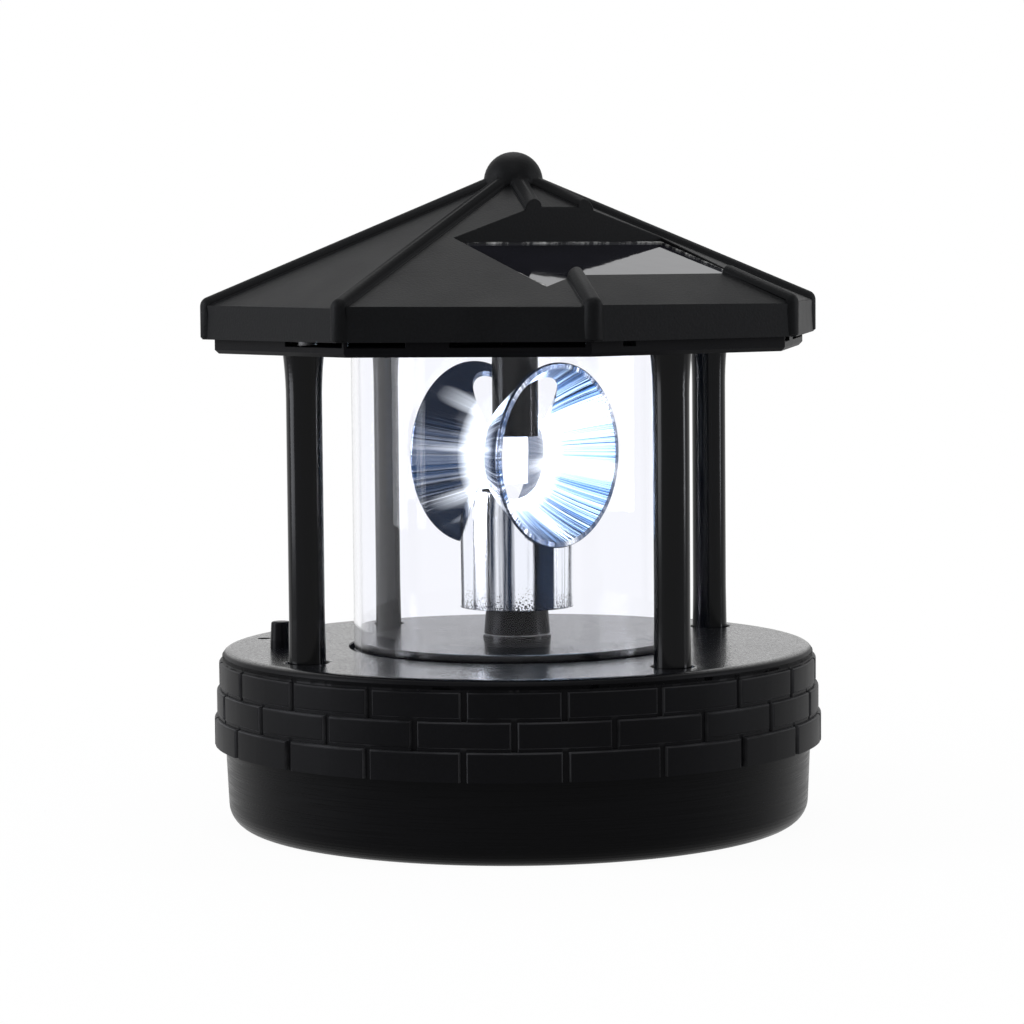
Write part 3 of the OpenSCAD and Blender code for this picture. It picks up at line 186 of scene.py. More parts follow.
def soft_box(name, bearing, height, away, size, power, colour=(1, 1, 1)):
    """An area lamp that looks at the middle of the lantern."""
    data = bpy.data.lights.new(name, "AREA")
    data.shape = "RECTANGLE"
    data.size, data.size_y = size
    data.energy = power
    data.color = colour
    lamp = bpy.data.objects.new(name, data)
    bpy.context.scene.collection.objects.link(lamp)
    turn = Matrix.Rotation(math.radians(bearing), 3, "Z")
    place = turn @ Vector((away, 0, height))
    turn = (Vector((0, 0, AIM_HEIGHT)) - place).to_track_quat("-Z", "Y").to_matrix().to_4x4()
    lamp.matrix_world = Matrix.Translation(place) @ turn


soft_box("soft_box_left", 154, 0.2, 0.8, (0.4, 0.9), 8.5, (0.92, 0.94, 1))
soft_box("soft_box_right", -40, 0.2, 0.9, (0.1, 0.9), 4.0, (0.92, 0.94, 1))
soft_box("soft_box_above", 54, 0.95, 0.5, (0.5, 0.5), 2.2)
soft_box("soft_box_front", -126, 0.95, 0.5, (0.5, 0.5), 2.2)

# the lit lamp's own light on what stands round it
LAMP_HEIGHT = 0.0787
glow_data = bpy.data.lights.new("lamp_glow", "POINT")
glow_data.energy = 0.3
glow_data.color = (0.62, 0.8, 1)
glow_data.shadow_soft_size = 0.03
glow = bpy.data.objects.new("lamp_glow", glow_data)
glow.location = (0, 0, LAMP_HEIGHT)
glow.visible_camera = False
glow.visible_transmission = False
bpy.context.scene.collection.objects.link(glow)


# ------------------------------------------------------------------ pan
# The lower shell that everything stands on, moulded in black plastic with a satin
# face. Its foot is rounded, and fine marks from the mould's polishing run round it.

def finish(name, **fixed):
    """Starts a material: the material, its shader, and each point's place in metres."""
    material = bpy.data.materials.new(name)
    material.use_nodes = True
    shader = material.node_tree.nodes["Principled BSDF"]
    for socket, value in fixed.items():
        shader.inputs[socket.replace("_", " ")].default_value = value
    place = Wire(material.node_tree).node("TexCoord", output="Object")
    return material, shader, place


def feed(shader, **wires):
    """Links what changes over a surface to the shader."""
    for name, wire in wires.items():
        shader.id_data.links.new(wire.socket, shader.inputs[name.replace("_", " ")])


def noise(place, size, detail=2.0, stretch=(1, 1, 1)):
    """Noise whose features are about size across, or stretched along an axis."""
    scale = tuple(1 / (size * s) for s in stretch)
    scaled = place.node("Mapping", {}, {"Vector": place, "Scale": scale})
    return place.node("TexNoise", {}, {"Vector": scaled, "Scale": 1.0, "Detail": detail})


def bumps(height, depth):
    """Small dents and grain, where height runs from 0 to 1 over the depth."""
    return height.node("Bump", {}, {"Distance": depth, "Height": height})


def mixed(share, first, second):
    """A colour between two, by share."""
    ends = [(*end, 1) if isinstance(end, tuple) else end for end in (first, second)]
    return share.node("Mix", {"data_type": "RGBA"}, {0: share, 6: ends[0], 7: ends[1]}, output=2)


def moulded(name, dark, light, roughness, grain, depth, specular):
    """Moulded plastic: fine grain from the mould's face, and a slow drift in its gloss."""
    material, shader, place = finish(name, Specular_IOR_Level=specular)
    fine = noise(place, grain, 3)
    drift = noise(place, 0.012, 3)
    feed(
        shader,
        Base_Color=mixed((fine * 0.7 + drift * 0.6 - 0.2).within(0, 1), dark, light),
        Roughness=roughness + (drift - 0.5) * 0.12,
        Normal=bumps(fine, depth),
    )
    return material


def dress(material, *nodes):
    """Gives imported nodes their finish."""
    for name in nodes:
        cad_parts[name].data.materials[0] = material


pan_black, shader, place = finish("pan_black", Specular_IOR_Level=0.045)
streaks = noise(place, 0.0003, 3, (60, 60, 1))
fine = noise(place, 0.00025, 3)
feed(
    shader,
    Base_Color=mixed(streaks, (0.001, 0.001, 0.0013), (0.004, 0.004, 0.0046)),
    Roughness=0.3 + (streaks - 0.5) * 0.3,
    Normal=bumps(fine + streaks, 0.000006),
)
dress(pan_black, "base_pan", "battery_door")


# ------------------------------------------------------------------ base cover
# The upper shell of the base: three courses of moulded bricks, a rounded rim, a top
# with a fine sandy grain, a groove for the tube and a raised floor inside it. Blind
# bosses under the top take the pillars and the screws from the pan.

def softened(outline, steps=4):
    """An outline with each corner that carries a third number rounded off by that much.

    A point a little past each rounding keeps the shading of what's beside it flat."""
    points = []
    for i, corner in enumerate(outline):
        here = Vector(corner[:2])
        if len(corner) == 2:
            points.append(here)
            continue
        before = Vector(outline[i - 1][:2]) - here
        after = Vector(outline[(i + 1) % len(outline)][:2]) - here
        start = here + before.normalized() * corner[2]
        end = here + after.normalized() * corner[2]
        points.append(here + before.normalized() * min(corner[2] * 1.3, before.length / 2))
        for k in range(steps + 1):
            t = k / steps
            points.append(start * (1 - t) ** 2 + here * 2 * t * (1 - t) + end * t ** 2)
        points.append(here + after.normalized() * min(corner[2] * 1.3, after.length / 2))
    return points


def turned(outline, angles, radius=None):
    """A body turned from a closed outline of (radius, height), one edge loop an angle.

    radius(r, z, angle) gives a point's own radius where the body isn't quite round."""
    body = bmesh.new()
    rings = []
    for r, z in outline:
        if r < 1e-9:
            rings.append([body.verts.new((0, 0, z))] * len(angles))
            continue
        reach = [radius(r, z, a) if radius else r for a in angles]
        ring = [(q * math.cos(a), q * math.sin(a), z) for q, a in zip(reach, angles)]
        rings.append([body.verts.new(point) for point in ring])
    for first, second in zip(rings, rings[1:] + rings[:1]):
        for i in range(len(angles)):
            j = (i + 1) % len(angles)
            corners = [first[i], first[j], second[j], second[i]]
            corners = [c for k, c in enumerate(corners) if c not in corners[:k]]
            if len(corners) > 2:
                body.faces.new(corners)
    bmesh.ops.recalc_face_normals(body, faces=body.faces)
    return body


def full_turn(count):
    return [2 * math.pi * i / count for i in range(count)]


def piece(name, body, material, rides, replaced, sharp=40):
    """Makes an object of a mesh, smooth but for its sharp edges, that stands for nodes."""
    mesh = bpy.data.meshes.new(name)
    body.to_mesh(mesh)
    body.free()
    mesh.materials.append(material)
    mesh.shade_smooth()
    mesh.set_sharp_from_angle(angle=math.radians(sharp))
    made = bpy.data.objects.new(name, mesh)
    bpy.context.scene.collection.objects.link(made)
    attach(made, rides)
    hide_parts(*replaced)
    return made


def cut(made, cutter, operation="DIFFERENCE"):
    """Cuts an object with a mesh, or joins the mesh to it, and keeps the result."""
    mesh = bpy.data.meshes.new("cutter")
    cutter.to_mesh(mesh)
    cutter.free()
    tool = bpy.data.objects.new("cutter", mesh)
    bpy.context.scene.collection.objects.link(tool)
    step = made.modifiers.new("cut", "BOOLEAN")
    step.operation = operation
    step.object = tool
    step.solver = "EXACT"
    bpy.context.view_layer.update()
    after = made.evaluated_get(bpy.context.evaluated_depsgraph_get())
    whole = bpy.data.meshes.new_from_object(after)
    made.modifiers.remove(step)
    made.data = whole
    bpy.data.objects.remove(tool)
    return made


def joined(*bodies):
    """Several meshes as one."""
    whole = bmesh.new()
    for body in bodies:
        mesh = bpy.data.meshes.new("part")
        body.to_mesh(mesh)
        body.free()
        whole.from_mesh(mesh)
        bpy.data.meshes.remove(mesh)
    return whole


def moved(body, x, y):
    bmesh.ops.translate(body, verts=body.verts, vec=(x, y, 0))
    return body


PILLAR_AT = 0.0533
PILLAR_ROOM = 0.0055
BASE_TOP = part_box("base_cover")[1].z - 0.0022
RING_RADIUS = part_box("base_cover")[1].x
PAN_HEIGHT = 0.0177
COURSE_HEIGHT = 0.0059
COURSE_STEP = 0.00055
COURSES = 3
BRICKS = 20
JOINT_WIDTH = 0.0012
JOINT_DEPTH = 0.0008
BED_HEIGHT = 0.0007
BED_DEPTH = 0.3
HEAD_DEPTH = 0.5
COURSE_GAP = 0.00002
BRICK_TURN = math.radians(-0.6)
RIM_BACK = 0.0007
RING_TOP = PAN_HEIGHT + COURSES * COURSE_HEIGHT
RIM_RADIUS = RING_RADIUS - (COURSES - 1) * COURSE_STEP - RIM_BACK
GROOVE_RADIUS = 0.036
GROOVE_DEPTH = 0.0014
PLINTH_RADIUS = 0.0333
PLINTH_HEIGHT = 0.0014
BOSS_RADIUS = 0.0073
BOSS_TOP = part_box("base_cover")[1].z
BUSH_RADIUS = 0.003
INSIDE_RADIUS = 0.0612
SHELL_UNDER = 0.0355

# the brick's edge in section: distance in from the joint's wall, and share of its depth
BRICK_EDGE = [(0, 0), (0.00008, 0.5), (0.00018, 0.78), (0.00032, 0.94), (0.0005, 1.0)]


def brick_rise(into):
    """Share of the joint's depth at a distance in from the brick's edge."""
    for (d0, h0), (d1, h1) in zip(BRICK_EDGE, BRICK_EDGE[1:]):
        if into <= d1 + 1e-9:
            return h0 + (h1 - h0) * max(0, into - d0) / (d1 - d0)
    return 1.0


def brick_radius(r, z, angle):
    """Radius of the brick ring: the bricks stand out between their joints."""
    if r < RIM_RADIUS + 0.0001 or z > RING_TOP + COURSE_GAP / 2:
        return r
    course = min(COURSES - 1, int((RING_TOP - z) / COURSE_HEIGHT + 1e-6))
    face = RING_RADIUS - (COURSES - 1 - course) * COURSE_STEP
    low = RING_TOP - (course + 1) * COURSE_HEIGHT
    pitch = 2 * math.pi / BRICKS
    turn = BRICK_TURN + (pitch / 2 if course % 2 == 0 else 0)
    off = (angle - turn + pitch / 2) % pitch - pitch / 2
    along = brick_rise(max(0, abs(off) * face - JOINT_WIDTH / 2))
    bed = 0 if course == COURSES - 1 else BED_HEIGHT
    up = brick_rise(max(0, z - low - bed)) if bed else 1
    down = brick_rise(max(0, low + COURSE_HEIGHT - z))
    level = 1 - BED_DEPTH * (1 - up) - HEAD_DEPTH * (1 - down)
    return face - JOINT_DEPTH * (1 - min(along, level))


edge_steps = [into for into, rise in BRICK_EDGE]
edge_angles = [(JOINT_WIDTH / 2 + into) / RING_RADIUS for into in edge_steps]
face_width = math.pi / BRICKS - 2 * edge_angles[-1]
face_angles = [edge_angles[-1] + face_width * k / 4 for k in range(1, 4)]
cover_angles = []
for joint in range(2 * BRICKS):
    middle = BRICK_TURN + math.pi * joint / BRICKS
    cover_angles += [middle] + [middle - a for a in edge_angles]
    cover_angles += [middle + a for a in edge_angles + face_angles]
cover_angles = sorted(a % (2 * math.pi) for a in cover_angles)

band = []
for course in range(COURSES - 1, -1, -1):
    low = RING_TOP - (course + 1) * COURSE_HEIGHT
    if course < COURSES - 1:
        band += [low + COURSE_GAP] + [low + BED_HEIGHT + d for d in edge_steps]
    else:
        band += [low]
    band += [low + COURSE_HEIGHT - d for d in reversed(edge_steps)]

# the rings either side of the pillars keep the top's shading flat round their seats
cover_outline = softened([
    (RIM_RADIUS, RING_TOP + COURSE_GAP),
    (RIM_RADIUS, BASE_TOP, 0.002),
    (PILLAR_AT + PILLAR_ROOM, BASE_TOP),
    (PILLAR_AT - PILLAR_ROOM, BASE_TOP),
    (GROOVE_RADIUS, BASE_TOP, 0.0003),
    (GROOVE_RADIUS, BASE_TOP - GROOVE_DEPTH),
    (PLINTH_RADIUS, BASE_TOP - GROOVE_DEPTH),
    (PLINTH_RADIUS, BASE_TOP + PLINTH_HEIGHT, 0.0006),
    (BOSS_RADIUS, BASE_TOP + PLINTH_HEIGHT, 0.0001),
    (BOSS_RADIUS, BOSS_TOP, 0.0002),
    (BUSH_RADIUS, BOSS_TOP),
    (BUSH_RADIUS, SHELL_UNDER),
    (INSIDE_RADIUS, SHELL_UNDER),
    (INSIDE_RADIUS, PAN_HEIGHT),
], 6)
cover_outline += [Vector((RING_RADIUS, z)) for z in band]

cover_black, shader, place = finish("cover_black", Specular_IOR_Level=0.045, Coat_Roughness=0.16)
height = place.part(2)
on_top = ((height - BASE_TOP + 0.0006) * 2500).within(0, 1)
fine = noise(place, 0.00032, 3)
sand = (noise(place, 0.0005, 2) * 3 - 1).within(0, 1)
drift = noise(place, 0.01, 3)
tone = (fine * 0.8 + drift * 0.4 - 0.1).within(0, 1)

# a painted highlight: a brick's edges are painted lighter where it turns from facing out
outward = place.vector("MULTIPLY", (1, 1, 0)).vector("NORMALIZE")
facing = place.node("TexCoord", output="Normal").vector("DOT_PRODUCT", outward)
on_ring = ((RING_TOP - height) * 5000).within(0, 1)
painted_edge_highlight = ((0.97 - facing) * 5).within(0, 1) * on_ring * (drift * 3 - 0.8).within(0.15, 1)
black = mixed(tone, (0.001, 0.001, 0.0013), (0.005, 0.005, 0.006))
feed(
    shader,
    Base_Color=mixed(painted_edge_highlight, black, (0.034, 0.034, 0.036)),
    Roughness=0.4 + (drift - 0.5) * 0.1 - on_top * 0.18,
    Coat_Weight=on_top * (0.2 + sand * 0.4),
    Normal=bumps(fine * 0.35 + on_top * sand, 0.00003),
)
cover = piece(
    "base_cover_bricks", turned(cover_outline, cover_angles, brick_radius), cover_black,
    "housing", ["base_cover"], 30,
)

SEAT_RADIUS = 0.0046
SEAT_DEPTH = 0.0007
SPIGOT_RADIUS = 0.00265
SPIGOT_FOOT = 0.03
BUTTON_AT = (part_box("switch_button")[0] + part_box("switch_button")[1]) / 2
BUTTON_HOLE_RADIUS = 0.0024
DENT_AT = (-0.0365, 0.044)
DENT_RADIUS = 0.0015
DENT_DEPTH = 0.0012
CUT_PAST = 0.001
CUT_THROUGH = 0.01
BOSS_OVERLAP_OUT = 0.0006
BOSS_OVERLAP_UP = 0.0005


def rod(radius, low, high, x, y, sides=48):
    outline = [Vector((0, low)), Vector((radius, low)), Vector((radius, high)), Vector((0, high))]
    return moved(turned(outline, full_turn(sides)), x, y)


seat = [Vector(point) for point in (
    (0, SPIGOT_FOOT), (SPIGOT_RADIUS, SPIGOT_FOOT), (SPIGOT_RADIUS, BASE_TOP - SEAT_DEPTH),
    (SEAT_RADIUS, BASE_TOP - SEAT_DEPTH), (SEAT_RADIUS, BASE_TOP + CUT_PAST), (0, BASE_TOP + CUT_PAST),
)]
holes = []
for quarter in range(4):
    turn = math.radians(90 * quarter)
    hole = turned(seat, full_turn(48))
    holes.append(moved(hole, PILLAR_AT * math.cos(turn), PILLAR_AT * math.sin(turn)))
cut_top = BASE_TOP + CUT_THROUGH
holes.append(rod(BUTTON_HOLE_RADIUS, BASE_TOP - CUT_THROUGH, cut_top, BUTTON_AT.x, BUTTON_AT.y))
holes.append(rod(DENT_RADIUS, BASE_TOP - DENT_DEPTH, cut_top, *DENT_AT))
cut(cover, joined(*holes))

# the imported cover's own inside, with its bosses, joins the shell from below
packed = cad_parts["base_cover"]
bosses = bpy.data.objects.new("bosses", packed.data.copy())
bosses.data.transform(packed.matrix_world)
bpy.context.scene.collection.objects.link(bosses)
inside_room = rod(INSIDE_RADIUS + BOSS_OVERLAP_OUT, 0, SHELL_UNDER + BOSS_OVERLAP_UP, 0, 0, 160)
cut(bosses, inside_room, "INTERSECT")
inside = bmesh.new()
inside.from_mesh(bosses.data)
bpy.data.objects.remove(bosses)
cut(cover, inside, "UNION")
cover.data.shade_smooth()
cover.data.set_sharp_from_angle(angle=math.radians(30))
flat_faces = cover.modifiers.new("flat_faces", "WEIGHTED_NORMAL")
flat_faces.weight = 100
flat_faces.keep_sharp = True


# ------------------------------------------------------------------ button
# The push button beside the left pillar, a black moulded cap on a plunger. It stands in
# a hole of the cover and presses the switch under it.

collar_black = moulded(
    "collar_black", (0.001, 0.001, 0.002), (0.003, 0.003, 0.004), 0.3, 0.0004, 0.000003, 0.06)
dress(collar_black, "switch_button")


# ------------------------------------------------------------------ works in the base
# A battery behind a door, a board with its switch, and a geared motor on a plate. None
# of it shows while the base is shut. The screws, leads, rings and boards outside the base
# have the same finishes.

def metal(name, colour, roughness, grain=0.0002):
    """Drawn, ground or plated metal with fine wear."""
    material, shader, place = finish(name, Metallic=1.0)
    fine = noise(place, grain, 3)
    dark = tuple(0.8 * c for c in colour)
    feed(shader, Base_Color=mixed(fine, dark, colour), Roughness=roughness + (fine - 0.5) * 0.2)
    return material


PLASTICS = {
    "board_green": ((0.02, 0.11, 0.05), (0.03, 0.16, 0.08), ["circuit_board", "panel_board"]),
    "parts_black": ((0.01, 0.01, 0.01), (0.02, 0.02, 0.02), ["board_parts", "switch_body"]),
    "nylon": ((0.7, 0.69, 0.64), (0.84, 0.83, 0.78),
              ["motor_pinion", "idler_gear", "output_wheel", "motor_end_cap"]),
    "sleeve": ((0.04, 0.2, 0.1), (0.06, 0.28, 0.14), ["battery_cell"]),
    "rubber": ((0.006, 0.006, 0.007), (0.014, 0.014, 0.015), ["tube_ring_lower", "tube_ring_upper"]),
    "lead_red": ((0.35, 0.02, 0.02), (0.5, 0.04, 0.03), ["battery_lead", "motor_lead"]),
    "lead_white": ((0.6, 0.6, 0.58), (0.75, 0.75, 0.72), ["lamp_lead"]),
    "lead_black": ((0.006, 0.006, 0.007), (0.014, 0.014, 0.015), ["panel_lead"]),
}
for name, (dark, light, nodes) in PLASTICS.items():
    dress(moulded(name, dark, light, 0.45, 0.0004, 0.00001, 0.4), *nodes)
METALS = {
    "zinc": ((0.62, 0.63, 0.66), 0.35, [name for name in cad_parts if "screw" in name]),
    "ground_steel": ((0.66, 0.67, 0.7), 0.25,
                     ["output_shaft", "motor_shaft", "idler_pin", "shaft_clip"]),
    "spring_steel": ((0.7, 0.7, 0.7), 0.3,
                     ["battery_plate_contact", "battery_spring_contact", "button_spring"]),
    "sheet_steel": ((0.6, 0.6, 0.62), 0.4, ["motor_can", "gear_plate"]),
    "brass": ((0.78, 0.58, 0.26), 0.3, ["shaft_bush"]),
}
for name, (colour, roughness, nodes) in METALS.items():
    dress(metal(name, colour, roughness), *nodes)


# ------------------------------------------------------------------ pillars
# Four round posts between base and tray, moulded in polished black plastic. Their
# spigots sit in the cover and the tray, held by screws. The lamp's post is like them.

pillar_gloss, shader, place = finish("pillar_gloss", Specular_IOR_Level=0.12)
waves = noise(place, 0.004, 2, (1, 1, 8))
feed(
    shader,
    Base_Color=mixed(waves, (0.0006, 0.0008, 0.001), (0.002, 0.002, 0.003)),
    Roughness=0.13 + (waves - 0.5) * 0.1,
    Normal=bumps(waves, 0.00006),
)
dress(pillar_gloss, "pillar_left", "pillar_front", "pillar_right", "pillar_back", "lamp_post")


# ------------------------------------------------------------------ lantern tube
# A clear acrylic tube between two rubber rings. It stands in the cover's groove.

TUBE_LOW, TUBE_HIGH = (corner.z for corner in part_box("lantern_tube"))
TUBE_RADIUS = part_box("lantern_tube")[1].x
TUBE_WALL = 0.0014
TUBE_ROUND = 0.0003
tube_outline = softened([
    (TUBE_RADIUS, TUBE_LOW, TUBE_ROUND), (TUBE_RADIUS, TUBE_HIGH, TUBE_ROUND),
    (TUBE_RADIUS - TUBE_WALL, TUBE_HIGH, TUBE_ROUND), (TUBE_RADIUS - TUBE_WALL, TUBE_LOW, TUBE_ROUND),
])
tube_clear, shader, place = finish(
    "tube_clear", Transmission_Weight=1.0, IOR=1.2, Base_Color=(0.965, 0.97, 1, 1),
)
haze = noise(place, 0.008, 2, (1, 1, 6))
feed(shader, Roughness=haze * 0.02)
tube = piece(
    "lantern_tube_clear", turned(tube_outline, full_turn(256)), tube_clear,
    "housing", ["lantern_tube"],
)

# real acrylic lets the lamp's light out, so the tube casts no shadow
tube.visible_shadow = False


# ------------------------------------------------------------------ drive collar
# A black moulded collar on the output shaft, which carries the reflector.

dress(collar_black, "drive_collar")


# ------------------------------------------------------------------ reflector
# Two horns back to back on a tube, moulded in plastic and vacuum-plated. Each horn is a
# parabola with its focus at the lamp, and a round opening in their top lets the lamp in.

HORN_BEARING = math.radians(-77.5)
HORN_REACH = 0.0125
HORN_RIM = 0.01965
HORN_WALL = 0.0009
HORN_LIP = 0.00035
HORN_LIP_DEPTH = 0.0007
HORN_STEPS = 40
LIP_START = 0.92
OPENING_RADIUS = 0.009
OPENING_CUT = 0.04
rim_inside = HORN_RIM - HORN_WALL - HORN_LIP
HORN_FOCUS = (math.hypot(HORN_REACH, rim_inside) - HORN_REACH) / 2


def horn_inside(along):
    return 2 * math.sqrt(HORN_FOCUS * (along + HORN_FOCUS))


def horn_outside(along):
    slope = 2 * HORN_FOCUS / horn_inside(along)
    length = math.hypot(1, slope)
    return horn_inside(along) + HORN_WALL / length, along - HORN_WALL * slope / length


def horn_profile():
    """Half the section of both horns, from one rim's inside round to the other's."""
    inside = [(horn_inside(HORN_REACH * i / HORN_STEPS), HORN_REACH * i / HORN_STEPS)
              for i in range(HORN_STEPS, -1, -1)]
    outside = [horn_outside(HORN_REACH * i / HORN_STEPS) for i in range(3, HORN_STEPS - 3)]
    lip = softened([
        horn_outside(HORN_REACH * LIP_START), (HORN_RIM, HORN_REACH - HORN_LIP_DEPTH, 0.0002),
        (HORN_RIM, HORN_REACH, 0.0003), (rim_inside, HORN_REACH),
    ], 5)[1:-1]
    half = inside[::-1][1:]
    front = [Vector(p) for p in inside]
    back = [Vector((r, -d)) for r, d in half]
    rear_lip = [Vector((p.x, -p.y)) for p in reversed(lip)]
    rear_out = [Vector((r, -d)) for r, d in reversed(outside)]
    return front + back + rear_lip + rear_out + [Vector(p) for p in outside] + lip


def along_horns(body):
    """Lays a body that is turned about Z along the horns' own axis."""
    lay = Matrix.Translation((0, 0, LAMP_HEIGHT)) @ Matrix.Rotation(HORN_BEARING, 4, "Z")
    lay = lay @ Matrix.Rotation(math.radians(90), 4, "Y")
    bmesh.ops.transform(body, matrix=lay, verts=body.verts)
    return body


# the lamp's light on the plating is painted: a glow in its emission, with a bright core round the lamp
# and rays and fine hair lines that run out from it, and painted reflections in its colour, light
# streaks on navy along the same rays and lines
horn_chrome, shader, place = finish("horn_chrome", Metallic=1.0, Emission_Strength=1.5)
about = place.node(
    "Mapping", {"vector_type": "TEXTURE"},
    {"Vector": place, "Location": (0, 0, LAMP_HEIGHT), "Rotation": (0, 0, HORN_BEARING)})
off_axis = about.vector("MULTIPLY", (0, 1, 1))
round_axis = off_axis.vector("NORMALIZE")
from_lamp = about.vector("LENGTH")
# painted streaks of the lamp's light and of reflections, running out from the lamp
rays = ((noise(round_axis, 0.5, 1) - 0.56) * 14).within(0, 1)
hair = noise(round_axis, 0.05, 4)
past_axis = off_axis.vector("LENGTH")
along = about.math("ABSOLUTE", about.part(0))
past_inside = past_axis * past_axis - along * (4 * HORN_FOCUS) - 4 * HORN_FOCUS ** 2
outer = (past_inside * 60000).within(0, 1)
painted_core = ((outer * 0.002 + 0.0128 - from_lamp) * 450).within(0, 1)
near = (1 - (from_lamp - 0.012) * 85).within(0, 1)
# where the plating is painted to glow with the lamp's light
painted_glow = (painted_core + rays * near * 0.7 + hair * near * near * 0.6 - 0.12).within(0, 1)
# painted reflections: light streaks along the rays and hair lines, navy between them
painted_reflection = (rays * 0.6 + hair * 1.1 - 0.42).within(0, 1)
feed(
    shader,
    Base_Color=mixed(painted_reflection, (0.04, 0.075, 0.15), (0.92, 0.95, 1)),
    Roughness=0.06 + hair * 0.1,
    Emission_Color=mixed(painted_glow, (0.002, 0.005, 0.014), (0.86, 0.92, 1)),
    Normal=bumps(hair, 0.0004),
)
horns = piece(
    "reflector_horns_plated", along_horns(turned(horn_profile(), full_turn(192))), horn_chrome,
    "reflector", ["reflector_horns"],
)
cut(horns, rod(OPENING_RADIUS, LAMP_HEIGHT, LAMP_HEIGHT + OPENING_CUT, 0, 0, 96))

HUB_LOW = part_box("reflector_hub")[0].z
HUB_RADIUS = 0.0123
HUB_DRAFT = 0.0002
HUB_WALL = 0.0012
HUB_WEB = 0.0065
HUB_STRAIGHT = 0.0185
HUB_SHOULDER = 0.008
HUB_SHOULDER_IN = 0.0022
HUB_BORE = 0.0015
COLLAR_SPIGOT = 0.0034
COLLAR_SPIGOT_DEPTH = 0.004
SADDLE_GAP = 0.0001

# painted reflections in the plating's colour: dark and light streaks like those that a room draws in
# it, and specks where it has worn off the foot
hub_chrome, shader, place = finish("hub_chrome", Metallic=1.0)
round_hub = place.vector("MULTIPLY", (1, 1, 0)).vector("NORMALIZE")
drawn = noise(place, 0.0005, 3, (1, 1, 30))
broad = noise(round_hub, 0.4, 1)
narrow = noise(round_hub, 0.13, 1)
# painted reflections: light and dark streaks round the hub
reflection_lightness = ((broad + narrow * 0.6 + drawn * 0.1 - 0.73) * 7).within(0, 1)
painted_reflection_bands = mixed(reflection_lightness, (0.012, 0.022, 0.045), (0.95, 0.97, 1))
above_foot = place.part(2) - HUB_LOW
worn = (noise(place, 0.0003, 4) * 16 - 7.4 - above_foot * 600).within(0, 1)
feed(
    shader,
    Base_Color=mixed(worn, painted_reflection_bands, (0.01, 0.012, 0.02)),
    Roughness=0.05 + drawn * 0.08 + worn * 0.3,
    Normal=bumps(drawn, 0.00004),
)
hub_top = HUB_LOW + HUB_STRAIGHT
inner = HUB_RADIUS - HUB_DRAFT - HUB_WALL
shoulder = []
for i in range(13):
    a = math.radians(90) * i / 12
    reach = HUB_RADIUS - HUB_DRAFT - HUB_SHOULDER_IN * (1 - math.cos(a))
    shoulder.append(Vector((reach, hub_top + HUB_SHOULDER * math.sin(a))))
hub_outline = softened([
    (COLLAR_SPIGOT, HUB_LOW + COLLAR_SPIGOT_DEPTH), (COLLAR_SPIGOT, HUB_LOW),
    (HUB_RADIUS, HUB_LOW, 0.0003),
], 3)
hub_outline += shoulder + [Vector(point) for point in (
    (inner - HUB_SHOULDER_IN, hub_top + HUB_SHOULDER), (inner - HUB_SHOULDER_IN, hub_top),
    (inner, hub_top), (inner, HUB_LOW + HUB_WEB),
    (HUB_BORE, HUB_LOW + HUB_WEB), (HUB_BORE, HUB_LOW + COLLAR_SPIGOT_DEPTH),
)]
hub = piece(
    "reflector_hub_plated", turned(hub_outline, full_turn(128)), hub_chrome,
    "reflector", ["reflector_hub"],
)
saddle = [Vector((0, HORN_REACH))]
for i in range(12, 1, -1):
    along = HORN_REACH * i / 12
    saddle.append(Vector((horn_inside(along) + HORN_WALL + SADDLE_GAP, along)))
saddle += [Vector((p.x, -p.y)) for p in reversed(saddle)]
cut(hub, along_horns(turned(saddle, full_turn(96))))


# ------------------------------------------------------------------ lamp
# A small white board that hangs in the post's end, with a bright white chip on each of its faces. The
# chips are lit. The board's glow is painted, and so is the chips' glow on the horns, in the horns' own
# finish.

lamp_lit, shader, place = finish(
    "lamp_lit", Emission_Strength=14.0, Base_Color=(0.9, 0.92, 1, 1), Roughness=0.4,
)
feed(shader, Emission_Color=mixed(noise(place, 0.001), (0.62, 0.76, 1.0), (0.72, 0.84, 1.0)))
dress(lamp_lit, "lamp_chips")
# the board is painted to glow, though the light comes from its chips
lamp_board_glow, shader, place = finish("lamp_board_glow", Emission_Strength=1.4, Roughness=0.4)
board_glow_tone = mixed(noise(place, 0.002), (0.75, 0.78, 0.95), (0.95, 0.96, 1.0))
feed(shader, Base_Color=board_glow_tone, Emission_Color=board_glow_tone)
dress(lamp_board_glow, "lamp_board")


# ------------------------------------------------------------------ tray
# The flat tray under the roof, moulded in black plastic, with upright blocks round its
# edge that the roof's fascia drops over.

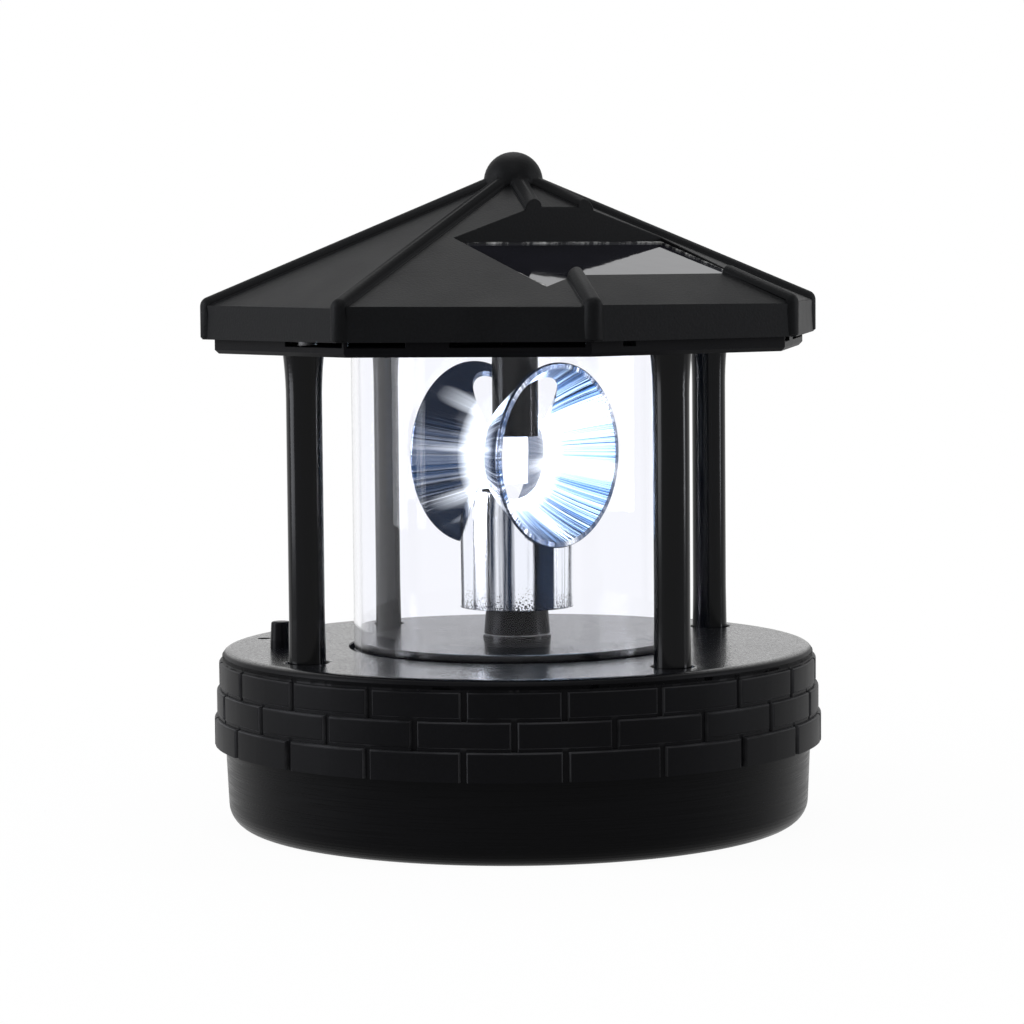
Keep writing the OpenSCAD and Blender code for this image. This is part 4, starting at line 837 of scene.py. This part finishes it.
def rounded_edges(name, width, angle):
    """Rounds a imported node's sharp edges by a small radius."""
    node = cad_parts[name]
    weld = node.modifiers.new("weld", "WELD")
    weld.merge_threshold = 1e-7
    flats = node.modifiers.new("flats", "DECIMATE")
    flats.decimate_type = "DISSOLVE"
    flats.angle_limit = math.radians(0.5)
    edges = node.modifiers.new("edges", "BEVEL")
    edges.limit_method = "ANGLE"
    edges.angle_limit = math.radians(angle)
    edges.width = width
    edges.segments = 3
    edges.use_clamp_overlap = False
    edges.harden_normals = True


tray_black = moulded(
    "tray_black", (0.0015, 0.0015, 0.002), (0.004, 0.004, 0.005), 0.45, 0.0004, 0.00002, 0.04)
dress(tray_black, "soffit_tray")
rounded_edges("soffit_tray", 0.0002, 50)


# ------------------------------------------------------------------ roof
# One moulding: eight sloping faces with rounded ribs over their hips, an upright fascia
# and a ball on top. Charcoal plastic with a fine matt grain.

roof_charcoal = moulded(
    "roof_charcoal", (0.0015, 0.0017, 0.002), (0.006, 0.0062, 0.007), 0.5, 0.0005, 0.00005, 0.06)
dress(roof_charcoal, "roof_shell")
rounded_edges("roof_shell", 0.0003, 62)


# ------------------------------------------------------------------ solar panel
# Dark cells on a board under clear resin, let into the roof's pocket and sealed round
# its edge with a thin, uneven bead of white silicone.

resin, shader, place = finish("resin", IOR=1.62, Specular_Tint=(0.9, 0.91, 1, 1))
ripple = noise(place, 0.01)
feed(
    shader,
    Base_Color=mixed(ripple, (0.004, 0.004, 0.007), (0.009, 0.009, 0.014)),
    Roughness=0.03 + ripple * 0.03,
    Normal=bumps(ripple, 0.00004),
)
dress(resin, "panel_resin")
cells = moulded("cells", (0.004, 0.005, 0.014), (0.01, 0.012, 0.03), 0.25, 0.003, 0.000005, 0.5)
dress(cells, "solar_cells")

silicone, shader, place = finish("silicone", Specular_IOR_Level=0.3)
broken = (noise(place, 0.0011, 3) * 2.4 + noise(place, 0.006) * 1.6 - 1.9).within(0, 1)
feed(
    shader,
    Base_Color=mixed(broken, (0.006, 0.006, 0.008), (0.72, 0.72, 0.7)),
    Roughness=0.35 + broken * 0.2,
)
dress(silicone, "panel_sealant")
